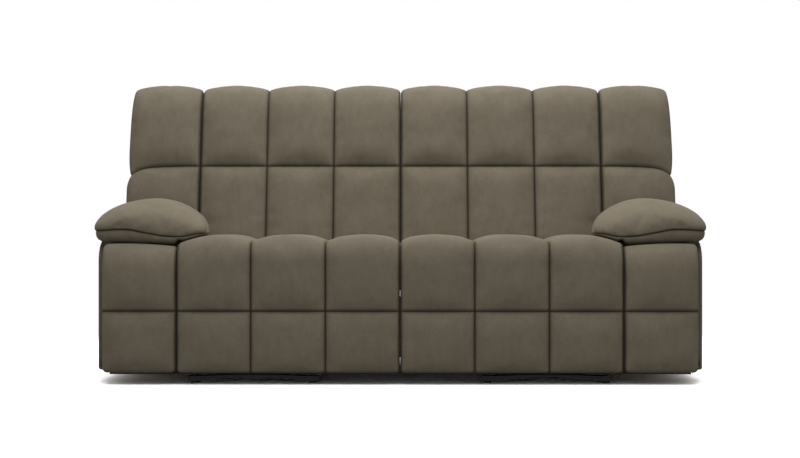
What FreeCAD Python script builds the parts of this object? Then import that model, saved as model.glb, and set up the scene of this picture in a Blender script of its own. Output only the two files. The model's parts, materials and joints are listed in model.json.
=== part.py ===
import FreeCAD, Part
import math
import os

# Reclining sofa of two chaise recliners between pillow arms. Millimetres, +Z up, X across, the front at -Y.
# The origin is on the floor, under the middle of the whole sofa.

# Overall sizes
overall_depth = 1010.0
column_pitch = 255.0        # one biscuit column of the tufting
seat_columns = 3            # columns of a seat; the footrest and the back have one more, past the arm
seat_crown_z = 515.0
fabric_bottom_z = 44.0
centre_gap = 8.0            # between the two recliners
side_gap = 6.0              # between a recliner and the arm beside it
back_lean_deg = 12.0

# Footrest; its front roll turns about the hinge rod
roll_radius = 37.0
hinge_below_crown = 39.0
front_crease_z = 255.0      # sewn line between the two rows of the footrest pad
ear_above_hinge = 18.0      # top of the pad in front of the arm
pad_thickness = 95.0
board_thickness = 15.0
board_inset = 16.0          # from the pad's bottom edge to the board's
board_below_hinge = 24.0
hinge_rod_radius = 6.0
hinge_arm_x = 130.0         # from the centre line, and the same distance from the other side of the seat
hinge_arm_width = 6.0
tuft_depth = 14.0           # how far a seam lies behind the crown of its biscuits
crease_depth = 12.0
ear_roll_back = 30.0        # how far the pad's face rolls back at its top in front of the arm
pad_fullness = 4.0          # how square the biscuits are between their creases

# Footrest linkage: the crank arm and the line from rod to bracket pin are equal and parallel
crank_behind_rail = 25.0    # torsion tube behind the seat's front rail
crank_below_hinge = 156.0
link_pin_drop = 221.0       # bracket pin below the hinge rod
bracket_pin_behind_board = 21.0
torsion_tube_radius = 12.5
link_pin_radius = 5.0
link_thickness = 4.0
link_half_width = 11.0
link_spacing = 6.0          # from one layer of the linkage to the next
running_clearance = 0.08    # radial, of every pin in its hole

# Seat
board_to_rail_gap = 10.0    # between the footrest's board and the seat's front rail
front_rail_thickness = 40.0
lip_thickness = 31.0        # cushion over the front rail
seat_cushion_height = 118.0
seat_to_pivot = 35.0        # the back's pivot is that far behind the seat, fore and aft
timber_thickness = 26.0
seat_rail_height = 50.0
webbing_thickness = 2.0
webbing_width = 60.0
seat_strap_count = 5
seat_tuft_depth = 18.0
easy_gap = 0.5              # round a runner in its track, and round the lever cup
side_plate_thickness = 4.0
runner_width = 20.0
runner_length = 180.0

# Back, leaning about the pivot; u runs up the back and v runs rearwards, square to it
pivot_below_seat = 95.0     # from the top of the seat's rails
back_bottom_u = 48.0
back_top_u = 803.5
row_crease_u = 477.0
lumbar_bottom_u = 130.0
back_seam_v = -45.0
back_crown = 26.0
back_crease_depth = 18.0
back_top_draw = 62.0        # how far the front face rolls back at the top
cushion_back_v = 147.0
back_rear_v = 289.2
back_panel_thickness = 12.0
back_post_thickness = 25.0
cover_band = 8.0            # padded cover round the edges of the back
back_strap_count = 5
pivot_pin_radius = 7.0
wing_clearance = 40.0       # from the arm's shoulder to the wing above it

# Arms
arm_width = 294.0
seam_to_arm = 7.0           # the outer seam of the seat lies that far over the arm's inner face
board_to_arm_gap = 5.0
ear_to_arm_gap = 3.0
arm_rise = 63.0             # the shoulder above the arm's top
arm_tail_drop = 162.0
arm_behind_pivot = 301.0
arm_ply_thickness = 15.0
arm_inner_padding = 12.0
arm_outer_padding = 22.0
arm_front_padding = 18.0
arm_pad_to_pivot = 31.0
arm_pad_overhang = 60.0     # forward of the arm's front
arm_pad_height = 148.0
arm_pad_outer_overhang = 13.0
arm_pad_inner_overhang = 88.0
arm_pad_tip_height = 41.0   # widest line of the pillow above the arm's top
arm_pad_fullness = 5.0
arm_step_gap = 15.0         # from the pillow pad to the rise of the arm behind it
arm_step_run = 8.0
arm_strip_thickness = 12.0

# Release lever, in a cup in the arm's outer side
lever_behind_front = 190.0
lever_below_top = 117.0
cup_length = 120.0
cup_height = 50.0
cup_depth = 30.0
cup_wall = 2.0
cup_flange = 8.0
lever_length = 100.0
lever_height = 34.0
lever_thickness = 6.0
lever_pin_radius = 3.0

# Base
tube_size = 25.0
tube_width = 30.0
tube_wall = 2.5
tube_bottom_z = 30.0
tube_end_inset = 40.0       # from the arm's outer face
front_tube_inset = 13.0     # from the front of the seat's front rail
rear_tube_inset = 51.0      # from the arm's rear
foot_bar_forward = 18.0     # how far the front foot bars stand out before their tube
track_width = 28.0
track_height = 35.0
track_wall = 3.0
track_slot = 6.0
foot_bar_length = 460.0
foot_bar_width = 40.0
foot_end_height = 17.0
foot_rise = 13.0
glide_stud_radius = 4.0
glide_nut_radius = 8.0
glide_height = 8.0
glide_radius = 13.0
glide_spacing = 412.0
end_bar_length = 48.0
rear_rail_thickness = 18.0
valance_thickness = 12.0
valance_below_pivot = 32.0
valance_above_rail = 28.0

# Worked out from the sizes above: across the sofa
seat_width = column_pitch * seat_columns
half_gap = centre_gap / 2
arm_inner_x = seat_width - seam_to_arm
arm_outer_x = arm_inner_x + arm_width
arm_pad_outer_x = arm_outer_x + arm_pad_outer_overhang
arm_pad_inner_x = arm_inner_x - arm_pad_inner_overhang
seat_inner_x = half_gap + side_gap
seat_outer_x = arm_inner_x - side_gap
half_centre_x = (seat_inner_x + seat_outer_x) / 2
wing_outer_x = seat_width + column_pitch + half_gap
plate_x = seat_inner_x + timber_thickness
track_centre_x = plate_x + side_plate_thickness / 2
crank_x = track_centre_x + track_width / 2 + 2.0
coupler_x = crank_x + link_spacing
bracket_x = coupler_x + link_spacing
back_bracket_x = plate_x + side_plate_thickness + 2.0
post_x = back_bracket_x + side_plate_thickness
tube_end_x = arm_outer_x - tube_end_inset
foot_centre_x = column_pitch * (seat_columns + 1) / 2

# Fore and aft
front_y = -overall_depth / 2
hinge_y = front_y + roll_radius
pad_back_y = front_y + pad_thickness
board_back_y = pad_back_y + board_thickness
front_rail_front_y = board_back_y + board_to_rail_gap
front_rail_rear_y = front_rail_front_y + front_rail_thickness
crank_y = front_rail_rear_y + crank_behind_rail
link_pin_back = board_back_y + bracket_pin_behind_board - hinge_y
back_reach = (back_top_u * math.sin(math.radians(back_lean_deg))
              + back_rear_v * math.cos(math.radians(back_lean_deg)))
pivot_y = float(round(-front_y - back_reach))
seat_rear_y = pivot_y - seat_to_pivot
runner_rear_y = seat_rear_y - 5.0
arm_front_y = board_back_y + board_to_arm_gap
arm_rear_y = pivot_y + arm_behind_pivot
arm_pad_front_y = arm_front_y - arm_pad_overhang
arm_pad_rear_y = pivot_y - arm_pad_to_pivot
front_tube_y = front_rail_front_y + front_tube_inset
rear_tube_y = arm_rear_y - rear_tube_inset
track_front_y = front_rail_front_y
track_rear_y = rear_tube_y + tube_width / 2
lever_y = arm_front_y + lever_behind_front

# Upwards
hinge_z = seat_crown_z - hinge_below_crown
ear_top_z = hinge_z + ear_above_hinge
board_bottom_z = fabric_bottom_z + board_inset
board_top_z = hinge_z - board_below_hinge
crank_z = hinge_z - crank_below_hinge
front_rail_top_z = seat_crown_z - lip_thickness
seat_rail_top_z = seat_crown_z - seat_cushion_height - webbing_thickness
pivot_z = seat_rail_top_z - pivot_below_seat
arm_top_z = ear_top_z + ear_to_arm_gap
arm_shoulder_z = arm_top_z + arm_rise
arm_tail_z = arm_top_z - arm_tail_drop
arm_pad_top_z = arm_top_z + arm_pad_height
arm_pad_tip_z = arm_top_z + arm_pad_tip_height
lever_z = arm_top_z - lever_below_top
wing_bottom_u = arm_shoulder_z - pivot_z + wing_clearance
track_bottom_z = tube_bottom_z + tube_size
track_top_z = track_bottom_z + track_height
foot_bar_top_z = tube_bottom_z
valance_top_z = pivot_z - valance_below_pivot
rear_rail_top_z = valance_top_z - valance_above_rail


def vec(x, y, z):
    return FreeCAD.Vector(x, y, z)


def block(x0, x1, y0, y1, z0, z1):
    return Part.makeBox(x1 - x0, y1 - y0, z1 - z0, vec(x0, y0, z0))


def round_bar(radius, x0, x1, y, z):
    # a bar across the sofa
    return Part.makeCylinder(radius, x1 - x0, vec(x0, y, z), vec(1, 0, 0))


def side_sheet(outline, x0, x1):
    # a sheet cut to an outline of (y, z) points, standing fore and aft
    points = [vec(x0, y, z) for y, z in outline]
    face = Part.Face(Part.makePolygon(points + points[:1]))
    return face.extrude(vec(x1 - x0, 0, 0))


def join(shapes):
    whole = shapes[0].multiFuse(shapes[1:])
    return whole.removeSplitter()


def lean(x, u, v):
    # a point of the back, from its own directions to the sofa's
    angle = math.radians(back_lean_deg)
    y = pivot_y + u * math.sin(angle) + v * math.cos(angle)
    z = pivot_z + u * math.cos(angle) - v * math.sin(angle)
    return vec(x, y, z)


def lean_block(x0, x1, u0, u1, v0, v1):
    # a square-cornered piece of the back
    corners = [lean(x0, u0, v0), lean(x0, u1, v0), lean(x0, u1, v1), lean(x0, u0, v1)]
    face = Part.Face(Part.makePolygon(corners + corners[:1]))
    return face.extrude(vec(x1 - x0, 0, 0))


def arc_edge(start, middle, end):
    return Part.Arc(start, middle, end).toShape()


def both_sides(shape):
    # adds the mirror image about the middle of the right half's seat
    mirrored = shape.mirror(vec(half_centre_x, 0, 0), vec(1, 0, 0))
    return Part.makeCompound([shape, mirrored])


def seam_positions(columns, inner_x, outer_x):
    # seams between the columns, with the two ends at the pad's own sides
    inner_seams = [column_pitch * i for i in range(1, columns)]
    return [inner_x] + inner_seams + [outer_x]


def tufted_section(seams, inset, seam_at, crown_at, back_at, place):
    # one cut through a tufted pad: an arc over each column, straight sides and a straight back
    xs = [seams[0] + inset] + seams[1:-1] + [seams[-1] - inset]
    edges = []
    for x0, x1 in zip(xs, xs[1:]):
        middle = place((x0 + x1) / 2, crown_at)
        edges.append(arc_edge(place(x0, seam_at), middle, place(x1, seam_at)))
    far = place(xs[-1], seam_at)
    near = place(xs[0], seam_at)
    far_back = place(xs[-1], back_at)
    near_back = place(xs[0], back_at)
    edges.append(Part.makeLine(far, far_back))
    edges.append(Part.makeLine(far_back, near_back))
    edges.append(Part.makeLine(near_back, near))
    return Part.Wire(edges)


def loft(wires):
    return Part.makeLoft(wires, True, True)


def drawn_in(position, low, high, low_draw, high_draw, fullness):
    # how far a pad's face lies back at a place between its two edges: nothing at mid-length, all of it at an edge
    share = (position - low) / (high - low)
    from_middle = abs(2 * share - 1)
    edge_draw = low_draw if share < 0.5 else high_draw
    return edge_draw * (1 - max(0.0, 1 - from_middle ** fullness) ** (1 / fullness))


def stations(low, high):
    # places of the cuts along a pad, closer together towards its edges
    shares = (0.0, 0.04, 0.2, 0.8, 0.96, 1.0)
    return [low + share * (high - low) for share in shares]


# Footrest

def footrest_row(seams, bottom_z, top_z, bottom_draw, top_draw):
    # one row of biscuits, drawn in at its lower and upper seams
    wires = []
    for z in stations(bottom_z, top_z):
        draw = drawn_in(z, bottom_z, top_z, bottom_draw, top_draw, pad_fullness)
        crown_y = front_y + draw
        seam_y = crown_y + tuft_depth * (1 - 0.5 * min(1.0, draw / crease_depth))
        wires.append(tufted_section(seams, 0.4 * draw, seam_y, crown_y, pad_back_y, lambda x, y: vec(x, y, z)))
    return loft(wires)


def front_roll(seams):
    # the barrels of the roll about the hinge rod, one to a column
    seam_fall = 0.6 * tuft_depth
    circles = []
    for x0, x1 in zip(seams, seams[1:]):
        for share in (0.0, 0.25, 0.75):
            radius = roll_radius - seam_fall * (2 * share - 1) ** 2
            circles.append(roll_circle(radius, x0 + share * (x1 - x0)))
    circles.append(roll_circle(roll_radius - seam_fall, seams[-1]))
    return loft(circles)


def roll_circle(radius, x):
    return Part.Wire(Part.makeCircle(radius, vec(x, hinge_y, hinge_z), vec(1, 0, 0)))


def hinge_slots():
    # room in the pad for the seat's two hinge arms, from pointing back to pointing up
    reach = hinge_arm_width / 2 + 2.0
    eye = link_half_width + 5.0
    slot = block(hinge_arm_x - reach, hinge_arm_x + reach, hinge_y - eye, board_back_y,
                 hinge_z - eye, seat_crown_z + tuft_depth)
    return both_sides(slot)


def footrest_pad():
    outer_side_x = wing_outer_x - half_gap
    seams = seam_positions(seat_columns + 1, half_gap, outer_side_x)
    seat_seams = seam_positions(seat_columns, half_gap, seat_width)
    lower = footrest_row(seams, fabric_bottom_z, front_crease_z, crease_depth, crease_depth)
    upper = footrest_row(seat_seams, front_crease_z, hinge_z, crease_depth, crease_depth)
    ear = footrest_row([seat_width, outer_side_x], front_crease_z, ear_top_z, crease_depth, ear_roll_back)
    pad = join([lower, upper, ear, front_roll(seat_seams)])
    pad = pad.cut(hinge_slots())
    pad = pad.cut(hinge_rod())
    return pad.cut(hinge_lugs())


def hinge_rod():
    overhang = 30.0
    return round_bar(hinge_rod_radius, hinge_arm_x - overhang, 2 * half_centre_x - hinge_arm_x + overhang,
                     hinge_y, hinge_z)


def hinge_lugs():
    # plates that carry the rod from the board, beside the seat's hinge arms
    lug_x = hinge_arm_x - hinge_arm_width / 2 - link_spacing - link_thickness
    eye = round_bar(link_half_width, lug_x, lug_x + link_thickness, hinge_y, hinge_z)
    drop = 60.0
    web = side_sheet([(pad_back_y, board_top_z - drop), (pad_back_y, board_top_z),
                      (hinge_y + link_half_width, hinge_z + 4.0), (hinge_y - 0.8 * link_half_width, hinge_z - 7.0)],
                     lug_x, lug_x + link_thickness)
    hole = round_bar(hinge_rod_radius, lug_x - 1.0, lug_x + link_thickness + 1.0, hinge_y, hinge_z)
    return both_sides(join([eye, web]).cut(hole))


def footrest_board():
    edge = 8.0
    board = block(half_gap + edge, wing_outer_x - half_gap - edge, pad_back_y, board_back_y,
                  board_bottom_z, board_top_z)
    return board


def bracket_pin_place():
    return hinge_y + link_pin_back, hinge_z - link_pin_drop


def footrest_brackets():
    # the plate that reaches back from the board to each coupler, with its riveted pin
    y, z = bracket_pin_place()
    foot_half = 50.0
    foot_thickness = 3.0
    plate = side_sheet([(board_back_y, z - foot_half), (board_back_y, z + foot_half),
                        (y, z + link_half_width), (y, z - link_half_width)],
                       bracket_x, bracket_x + link_thickness)
    eye = round_bar(link_half_width, bracket_x, bracket_x + link_thickness, y, z)
    foot = block(bracket_x, bracket_x + 30.0, board_back_y, board_back_y + foot_thickness,
                 z - foot_half, z + foot_half)
    pin = round_bar(link_pin_radius, coupler_x - 1.0, bracket_x, y, z)
    link_brackets = both_sides(join([plate, eye, foot, pin]))
    return Part.makeCompound(link_brackets.Solids + hinge_lugs().Solids)


# Footrest linkage

def link_bar(start, end, x):
    # a flat bar with round ends between two pins
    length = math.hypot(end[0] - start[0], end[1] - start[1])
    across = (-(end[1] - start[1]) / length * link_half_width, (end[0] - start[0]) / length * link_half_width)
    outline = [(start[0] + across[0], start[1] + across[1]), (end[0] + across[0], end[1] + across[1]),
               (end[0] - across[0], end[1] - across[1]), (start[0] - across[0], start[1] - across[1])]
    bar = side_sheet(outline, x, x + link_thickness)
    ends = [round_bar(link_half_width, x, x + link_thickness, y, z) for y, z in (start, end)]
    return join([bar] + ends)


def crank_pin_place():
    return crank_y + link_pin_back, crank_z - link_pin_drop


def crank_arms():
    # the two cranks, welded on the torsion tube that turns them together
    y, z = crank_pin_place()
    overhang = 4.0
    tube_end_x = plate_x - overhang
    other_end_x = 2 * half_centre_x - tube_end_x
    tube = round_bar(torsion_tube_radius, tube_end_x, other_end_x, crank_y, crank_z)
    bore = round_bar(torsion_tube_radius - 2.0, tube_end_x, other_end_x, crank_y, crank_z)
    arm = link_bar((crank_y, crank_z), (y, z), crank_x)
    hub = round_bar(torsion_tube_radius + 5.0, crank_x, crank_x + link_thickness, crank_y, crank_z)
    pin = round_bar(link_pin_radius, crank_x, coupler_x + link_thickness + 1.0, y, z)
    tube_hole = round_bar(torsion_tube_radius, crank_x - 1.0, crank_x + link_thickness + 1.0, crank_y, crank_z)
    arms = both_sides(join([arm, hub, pin]).cut(tube_hole))
    return Part.makeCompound([tube.cut(bore)] + arms.Solids)


def coupler_links():
    bar = link_bar(crank_pin_place(), bracket_pin_place(), coupler_x)
    for y, z in (crank_pin_place(), bracket_pin_place()):
        bar = bar.cut(round_bar(link_pin_radius + running_clearance, coupler_x - 1.0,
                                coupler_x + link_thickness + 1.0, y, z))
    return both_sides(bar)


# Seat

def seat_frame():
    # four timber rails, the side rails butted between the front and rear ones
    bottom = seat_rail_top_z - seat_rail_height
    rear_front_y = seat_rear_y - timber_thickness
    front = block(seat_inner_x, seat_outer_x, front_rail_front_y, front_rail_rear_y, bottom, front_rail_top_z)
    rear = block(seat_inner_x, seat_outer_x, rear_front_y, seat_rear_y, bottom, seat_rail_top_z)
    side = block(seat_inner_x, plate_x, front_rail_rear_y, rear_front_y, bottom, seat_rail_top_z)
    return Part.makeCompound([front, rear] + both_sides(side).Solids)


def spaced(first, last, count):
    return [first + (last - first) * i / (count - 1) for i in range(count)]


def seat_webbing():
    half = webbing_width / 2
    margin = half + 8.0
    places = spaced(front_rail_rear_y + margin, seat_rear_y - margin, seat_strap_count)
    straps = [block(seat_inner_x, seat_outer_x, y - half, y + half, seat_rail_top_z,
                    seat_rail_top_z + webbing_thickness) for y in places]
    return Part.makeCompound(straps)


def seat_side_plates():
    # pressed plate that carries the timber frame, the linkage and the back, on a leg down to the runner
    lug = 24.0
    front_y_edge = front_rail_rear_y + 2.0
    rear_rail_y = seat_rear_y - timber_thickness
    under_rail_z = seat_rail_top_z - seat_rail_height
    leg_front_y = runner_rear_y - runner_length
    outline = [(front_y_edge, seat_rail_top_z), (front_y_edge, crank_z - lug), (crank_y + lug, crank_z - lug - 6.0),
               (leg_front_y - 25.0, pivot_z - 38.0), (leg_front_y, pivot_z - 150.0),
               (leg_front_y, runner_top_z()), (runner_rear_y, runner_top_z()),
               (runner_rear_y + 5.0, pivot_z - 150.0), (pivot_y - 20.0, pivot_z - lug), (pivot_y, pivot_z - lug),
               (pivot_y + lug, pivot_z), (pivot_y, pivot_z + lug), (seat_rear_y, under_rail_z),
               (rear_rail_y, under_rail_z), (rear_rail_y, seat_rail_top_z)]
    plate = side_sheet(outline, plate_x, plate_x + side_plate_thickness)
    plate = join([plate, round_bar(lug, plate_x, plate_x + side_plate_thickness, pivot_y, pivot_z)])
    hole_x0 = plate_x - 1.0
    hole_x1 = plate_x + side_plate_thickness + 1.0
    plate = plate.cut(round_bar(torsion_tube_radius + running_clearance, hole_x0, hole_x1, crank_y, crank_z))
    lightening_radius = 30.0
    middle_y = (leg_front_y + runner_rear_y) / 2
    for z in (pivot_z - 150.0, pivot_z - 50.0):
        plate = plate.cut(round_bar(lightening_radius, hole_x0, hole_x1, middle_y, z))
    pin = round_bar(pivot_pin_radius, plate_x, back_bracket_x + side_plate_thickness + 2.0, pivot_y, pivot_z)
    return both_sides(join([plate, pin]))


def runner_top_z():
    return track_top_z - track_wall - easy_gap


def seat_runners():
    half = runner_width / 2
    runner = block(track_centre_x - half, track_centre_x + half, runner_rear_y - runner_length, runner_rear_y,
                   track_bottom_z + track_wall + easy_gap, runner_top_z())
    return both_sides(runner)


def footrest_hinge_arms():
    # a foot on the front of the seat's front rail, and an arm out to the rod
    half = hinge_arm_width / 2
    foot_thickness = 3.0
    foot_half = 20.0
    foot = block(hinge_arm_x - foot_half, hinge_arm_x + foot_half, front_rail_front_y - foot_thickness,
                 front_rail_front_y, hinge_z - 60.0, hinge_z + 6.0)
    arm_half = link_half_width - 3.0
    arm = block(hinge_arm_x - half, hinge_arm_x + half, hinge_y, front_rail_front_y - foot_thickness,
                hinge_z - arm_half, hinge_z + arm_half)
    eye = round_bar(link_half_width + 2.0, hinge_arm_x - half, hinge_arm_x + half, hinge_y, hinge_z)
    hole = round_bar(hinge_rod_radius + running_clearance, hinge_arm_x - half - 1.0, hinge_arm_x + half + 1.0,
                     hinge_y, hinge_z)
    return both_sides(join([foot, arm, eye]).cut(hole))


def seat_section(seams, y, crown_drop, inset, bottom_z):
    crown_z = seat_crown_z - crown_drop
    seam_z = crown_z - seat_tuft_depth
    return tufted_section(seams, inset, seam_z, crown_z, bottom_z, lambda x, z: vec(x, y, z))


def seat_cushion():
    # the body over the webbing, and a lip forward over the front rail to the roll
    seams = seam_positions(seat_columns, half_gap, seat_outer_x)
    bottom_z = seat_rail_top_z + webbing_thickness
    front = front_rail_rear_y
    length = seat_rear_y - front
    rear_draw = 24.0
    body = []
    for y in stations(seat_rear_y - 2 * length, seat_rear_y):
        if y >= front + length / 2:
            drop = drawn_in(y, seat_rear_y - 2 * length, seat_rear_y, 0.0, rear_draw, pad_fullness)
            body.append(seat_section(seams, y, drop, 0.3 * drop, bottom_z))
    body.insert(0, seat_section(seams, front, 0.0, 0.0, bottom_z))
    lip_end_y = hinge_y + 32.0
    lip = [seat_section(seams, y, drop, 0.0, front_rail_top_z)
           for y, drop in ((front, 0.0), (lip_end_y + 30.0, 0.5), (lip_end_y, 4.0))]
    hollow = round_bar(roll_radius + 3.0, 0.0, arm_inner_x, hinge_y, hinge_z)
    return join([loft(body), loft(lip)]).cut(hollow)


# Back

def back_row(seams, low, high, low_draw, high_draw, places):
    # biscuits between u = low and u = high, cut where places say
    wires = []
    for u in places:
        draw = drawn_in(u, low, high, low_draw, high_draw, pad_fullness)
        seam_v = back_seam_v + draw
        crown_v = seam_v - back_crown * (1 - 0.5 * min(1.0, draw / back_crease_depth))
        wires.append(tufted_section(seams, 0.4 * min(draw, back_crease_depth), seam_v, crown_v, cushion_back_v,
                                    lambda x, v: lean(x, u, v)))
    return loft(wires)


def head_cushion():
    low = row_crease_u
    seams = seam_positions(seat_columns + 1, half_gap, wing_outer_x)
    return back_row(seams, low, back_top_u, back_crease_depth, back_top_draw, stations(low, back_top_u))


def lumbar_cushion():
    # three columns between the arms, and above the arm a fourth on the wing
    low = lumbar_bottom_u
    high = row_crease_u
    below = [u for u in stations(low, high) if u < wing_bottom_u] + [wing_bottom_u]
    above = [wing_bottom_u] + [u for u in stations(low, high) if u > wing_bottom_u]
    narrow = seam_positions(seat_columns, half_gap, seat_outer_x - half_gap)
    wide = seam_positions(seat_columns + 1, half_gap, wing_outer_x)
    draws = (back_crease_depth, back_crease_depth)
    return join([back_row(narrow, low, high, *draws, below), back_row(wide, low, high, *draws, above)])


def back_frame():
    # upright posts, and rails butted between them; the outer bay is the wing
    front = cushion_back_v + webbing_thickness
    rear = back_rear_v - back_panel_thickness
    top = back_top_u - cover_band
    bottom = back_bottom_u + cover_band
    wing_low = wing_bottom_u + cover_band
    outer_post_x = 2 * half_centre_x - post_x - back_post_thickness
    wing_post_x = wing_outer_x - cover_band - back_post_thickness
    pieces = []
    for x, low in ((post_x, bottom), (outer_post_x, bottom), (wing_post_x, wing_low)):
        pieces.append(lean_block(x, x + back_post_thickness, low, top, front, rear))
    rails = [bottom, wing_low, row_crease_u, top - back_post_thickness]
    for u in rails:
        pieces.append(lean_block(post_x + back_post_thickness, outer_post_x, u, u + back_post_thickness, front, rear))
    for u in rails[1:]:
        pieces.append(lean_block(outer_post_x + back_post_thickness, wing_post_x, u, u + back_post_thickness,
                                 front, rear))
    return Part.makeCompound(pieces)


def back_webbing():
    half = webbing_width / 2
    front = cushion_back_v
    places = spaced(lumbar_bottom_u + 40.0, back_top_u - 60.0, back_strap_count)
    straps = [lean_block(post_x, 2 * half_centre_x - post_x, u - half, u + half, front, front + webbing_thickness)
              for u in places]
    return Part.makeCompound(straps)


def outside_back():
    # padded rear panels, and bands that return forward over the frame's edges
    front = cushion_back_v
    rear = back_rear_v - back_panel_thickness
    lower_outer_x = seat_outer_x - half_gap
    inner_x = half_gap
    panels = [lean_block(inner_x, wing_outer_x, wing_bottom_u, back_top_u, rear, back_rear_v),
              lean_block(inner_x, lower_outer_x, back_bottom_u, wing_bottom_u, rear, back_rear_v)]
    runs = [(inner_x + cover_band, wing_outer_x - cover_band, back_top_u - cover_band, back_top_u),
            (wing_outer_x - cover_band, wing_outer_x, wing_bottom_u, back_top_u),
            (lower_outer_x, wing_outer_x - cover_band, wing_bottom_u, wing_bottom_u + cover_band),
            (lower_outer_x - cover_band, lower_outer_x, back_bottom_u, wing_bottom_u),
            (inner_x + cover_band, lower_outer_x - cover_band, back_bottom_u, back_bottom_u + cover_band),
            (inner_x, inner_x + cover_band, back_bottom_u, back_top_u)]
    bands = [lean_block(x0, x1, u0, u1, front, rear) for x0, x1, u0, u1 in runs]
    return Part.makeCompound(panels + bands)


def back_brackets():
    # plates from the pivot pins to the posts
    front = cushion_back_v + webbing_thickness
    foot_top_u = 250.0
    lug = 20.0
    foot_low_u = back_bottom_u + cover_band + 4.0
    outline = [(-0.3 * lug, -0.95 * lug), (foot_low_u, cushion_back_v - 10.0), (foot_low_u, back_rear_v - 40.0),
               (foot_top_u, back_rear_v - 40.0),
               (foot_top_u, front + 6.0), (lumbar_bottom_u - 12.0, front + 6.0), (0.8 * lug, -0.6 * lug)]
    corners = [lean(back_bracket_x, u, v) for u, v in outline]
    face = Part.Face(Part.makePolygon(corners + corners[:1]))
    plate = face.extrude(vec(side_plate_thickness, 0, 0))
    eye = round_bar(lug, back_bracket_x, back_bracket_x + side_plate_thickness, pivot_y, pivot_z)
    hole = round_bar(pivot_pin_radius + running_clearance, back_bracket_x - 1.0,
                     back_bracket_x + side_plate_thickness + 1.0, pivot_y, pivot_z)
    return both_sides(join([plate, eye]).cut(hole))


# Arms

def arm_profile(front, rear, bottom):
    # side view of the arm under its pillow pad, rising behind the pad and falling to the rear
    step_y = arm_pad_rear_y + arm_step_gap
    return [(front, bottom), (front, arm_top_z), (step_y, arm_top_z), (step_y + arm_step_run, arm_shoulder_z),
            (rear, arm_tail_z), (rear, bottom)]


def lever_opening(x0, x1, clearance):
    return block(x0, x1, lever_y - cup_length / 2 - clearance, lever_y + cup_length / 2 + clearance,
                 lever_z - cup_height / 2 - clearance, lever_z + cup_height / 2 + clearance)


def arm_frame():
    # two plywood sides cut to the arm's profile, and boards butted between them
    inner_x = arm_inner_x + arm_inner_padding
    outer_x = arm_outer_x - arm_outer_padding
    front = arm_front_y + arm_front_padding
    bottom = tube_bottom_z + tube_size
    ply = arm_ply_thickness
    profile = arm_profile(front, arm_rear_y, bottom)
    outer_side = side_sheet(profile, outer_x - ply, outer_x)
    outer_side = outer_side.cut(lever_opening(outer_x - ply - 1.0, outer_x + 1.0, easy_gap))
    x0 = inner_x + ply
    x1 = outer_x - ply
    boards = [block(x0, x1, front, front + ply, bottom, arm_top_z),
              block(x0, x1, arm_rear_y - ply, arm_rear_y, bottom, arm_tail_z - 10.0),
              block(x0, x1, front + ply, arm_pad_rear_y + arm_step_gap, arm_top_z - ply, arm_top_z),
              block(x0, x1, front + ply, arm_rear_y - ply, bottom, bottom + ply)]
    return Part.makeCompound([side_sheet(profile, inner_x, inner_x + ply), outer_side] + boards)


def arm_inner_panel():
    # from the front board's face to the rear, above the cross tubes
    return side_sheet(arm_profile(arm_front_y + arm_front_padding, arm_rear_y, tube_bottom_z + tube_size + easy_gap),
                      arm_inner_x, arm_inner_x + arm_inner_padding)


def profile_wire(x, inset):
    outline = arm_profile(arm_front_y, arm_rear_y, fabric_bottom_z)
    wire = Part.makePolygon([vec(x, y, z) for y, z in outline + outline[:1]])
    if inset:
        wire = wire.makeOffset2D(-inset, 2)
    return wire


def arm_outer_panel():
    # padded, so that its face crowns out from the edges
    inner_x = arm_outer_x - arm_outer_padding
    crown = 0.45 * arm_outer_padding
    flat = Part.Face(profile_wire(inner_x, 0)).extrude(vec(arm_outer_padding - crown, 0, 0))
    crowned = Part.makeLoft([profile_wire(arm_outer_x - crown, 0), profile_wire(arm_outer_x - 0.3 * crown, 8.0),
                             profile_wire(arm_outer_x, 26.0)], True, True)
    panel = join([flat, crowned])
    return panel.cut(lever_opening(inner_x - 1.0, arm_outer_x + 1.0, easy_gap))


def arm_front_panel():
    return block(arm_inner_x, arm_outer_x - arm_outer_padding, arm_front_y, arm_front_y + arm_front_padding,
                 tube_bottom_z + tube_size + easy_gap, arm_top_z)


def arm_rear_strip():
    # the covered strip down the slope behind the pillow pad and on down the arm's rear
    slope_top_y = arm_pad_rear_y + arm_step_gap + arm_step_run
    rear = arm_rear_y + valance_thickness
    return side_sheet([(slope_top_y, arm_shoulder_z), (arm_rear_y, arm_tail_z), (arm_rear_y, fabric_bottom_z),
                       (rear, fabric_bottom_z), (rear, arm_tail_z + arm_strip_thickness),
                       (slope_top_y, arm_shoulder_z + arm_strip_thickness)], arm_inner_x, arm_outer_x)


def arm_pad_section(y, inset, lift):
    # pillow over a low band: the band stands on the arm, the pillow overhangs both sides
    inner = arm_pad_inner_x + inset
    outer = arm_pad_outer_x - inset
    top = arm_pad_top_z - inset
    low = arm_top_z + lift
    tip = arm_pad_tip_z + 0.4 * lift
    crown_x = 0.52 * inner + 0.48 * outer
    band_inner_x = arm_inner_x + 0.6 * inset
    band_outer_x = outer - 18.0
    under_z = tip - 16.0
    points = [vec(x, y, z) for x, z in (
        (band_inner_x, low), (band_outer_x, low), (outer, tip), (crown_x, top), (inner, tip - 5.0),
        (inner + 12.0, under_z), (band_inner_x, under_z - 4.0))]
    outer_bulge = vec(outer - 3.0, y, (low + tip) / 2)
    outer_shoulder = vec(0.40 * crown_x + 0.60 * outer, y, tip + 0.78 * (top - tip))
    inner_shoulder = vec(0.45 * crown_x + 0.55 * inner, y, tip + 0.80 * (top - tip))
    inner_round = vec(inner + 2.0, y, tip - 12.0)
    edges = [Part.makeLine(points[0], points[1]), arc_edge(points[1], outer_bulge, points[2]),
             arc_edge(points[2], outer_shoulder, points[3]), arc_edge(points[3], inner_shoulder, points[4]),
             arc_edge(points[4], inner_round, points[5]), Part.makeLine(points[5], points[6]),
             Part.makeLine(points[6], points[0])]
    return Part.Wire(edges)


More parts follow.
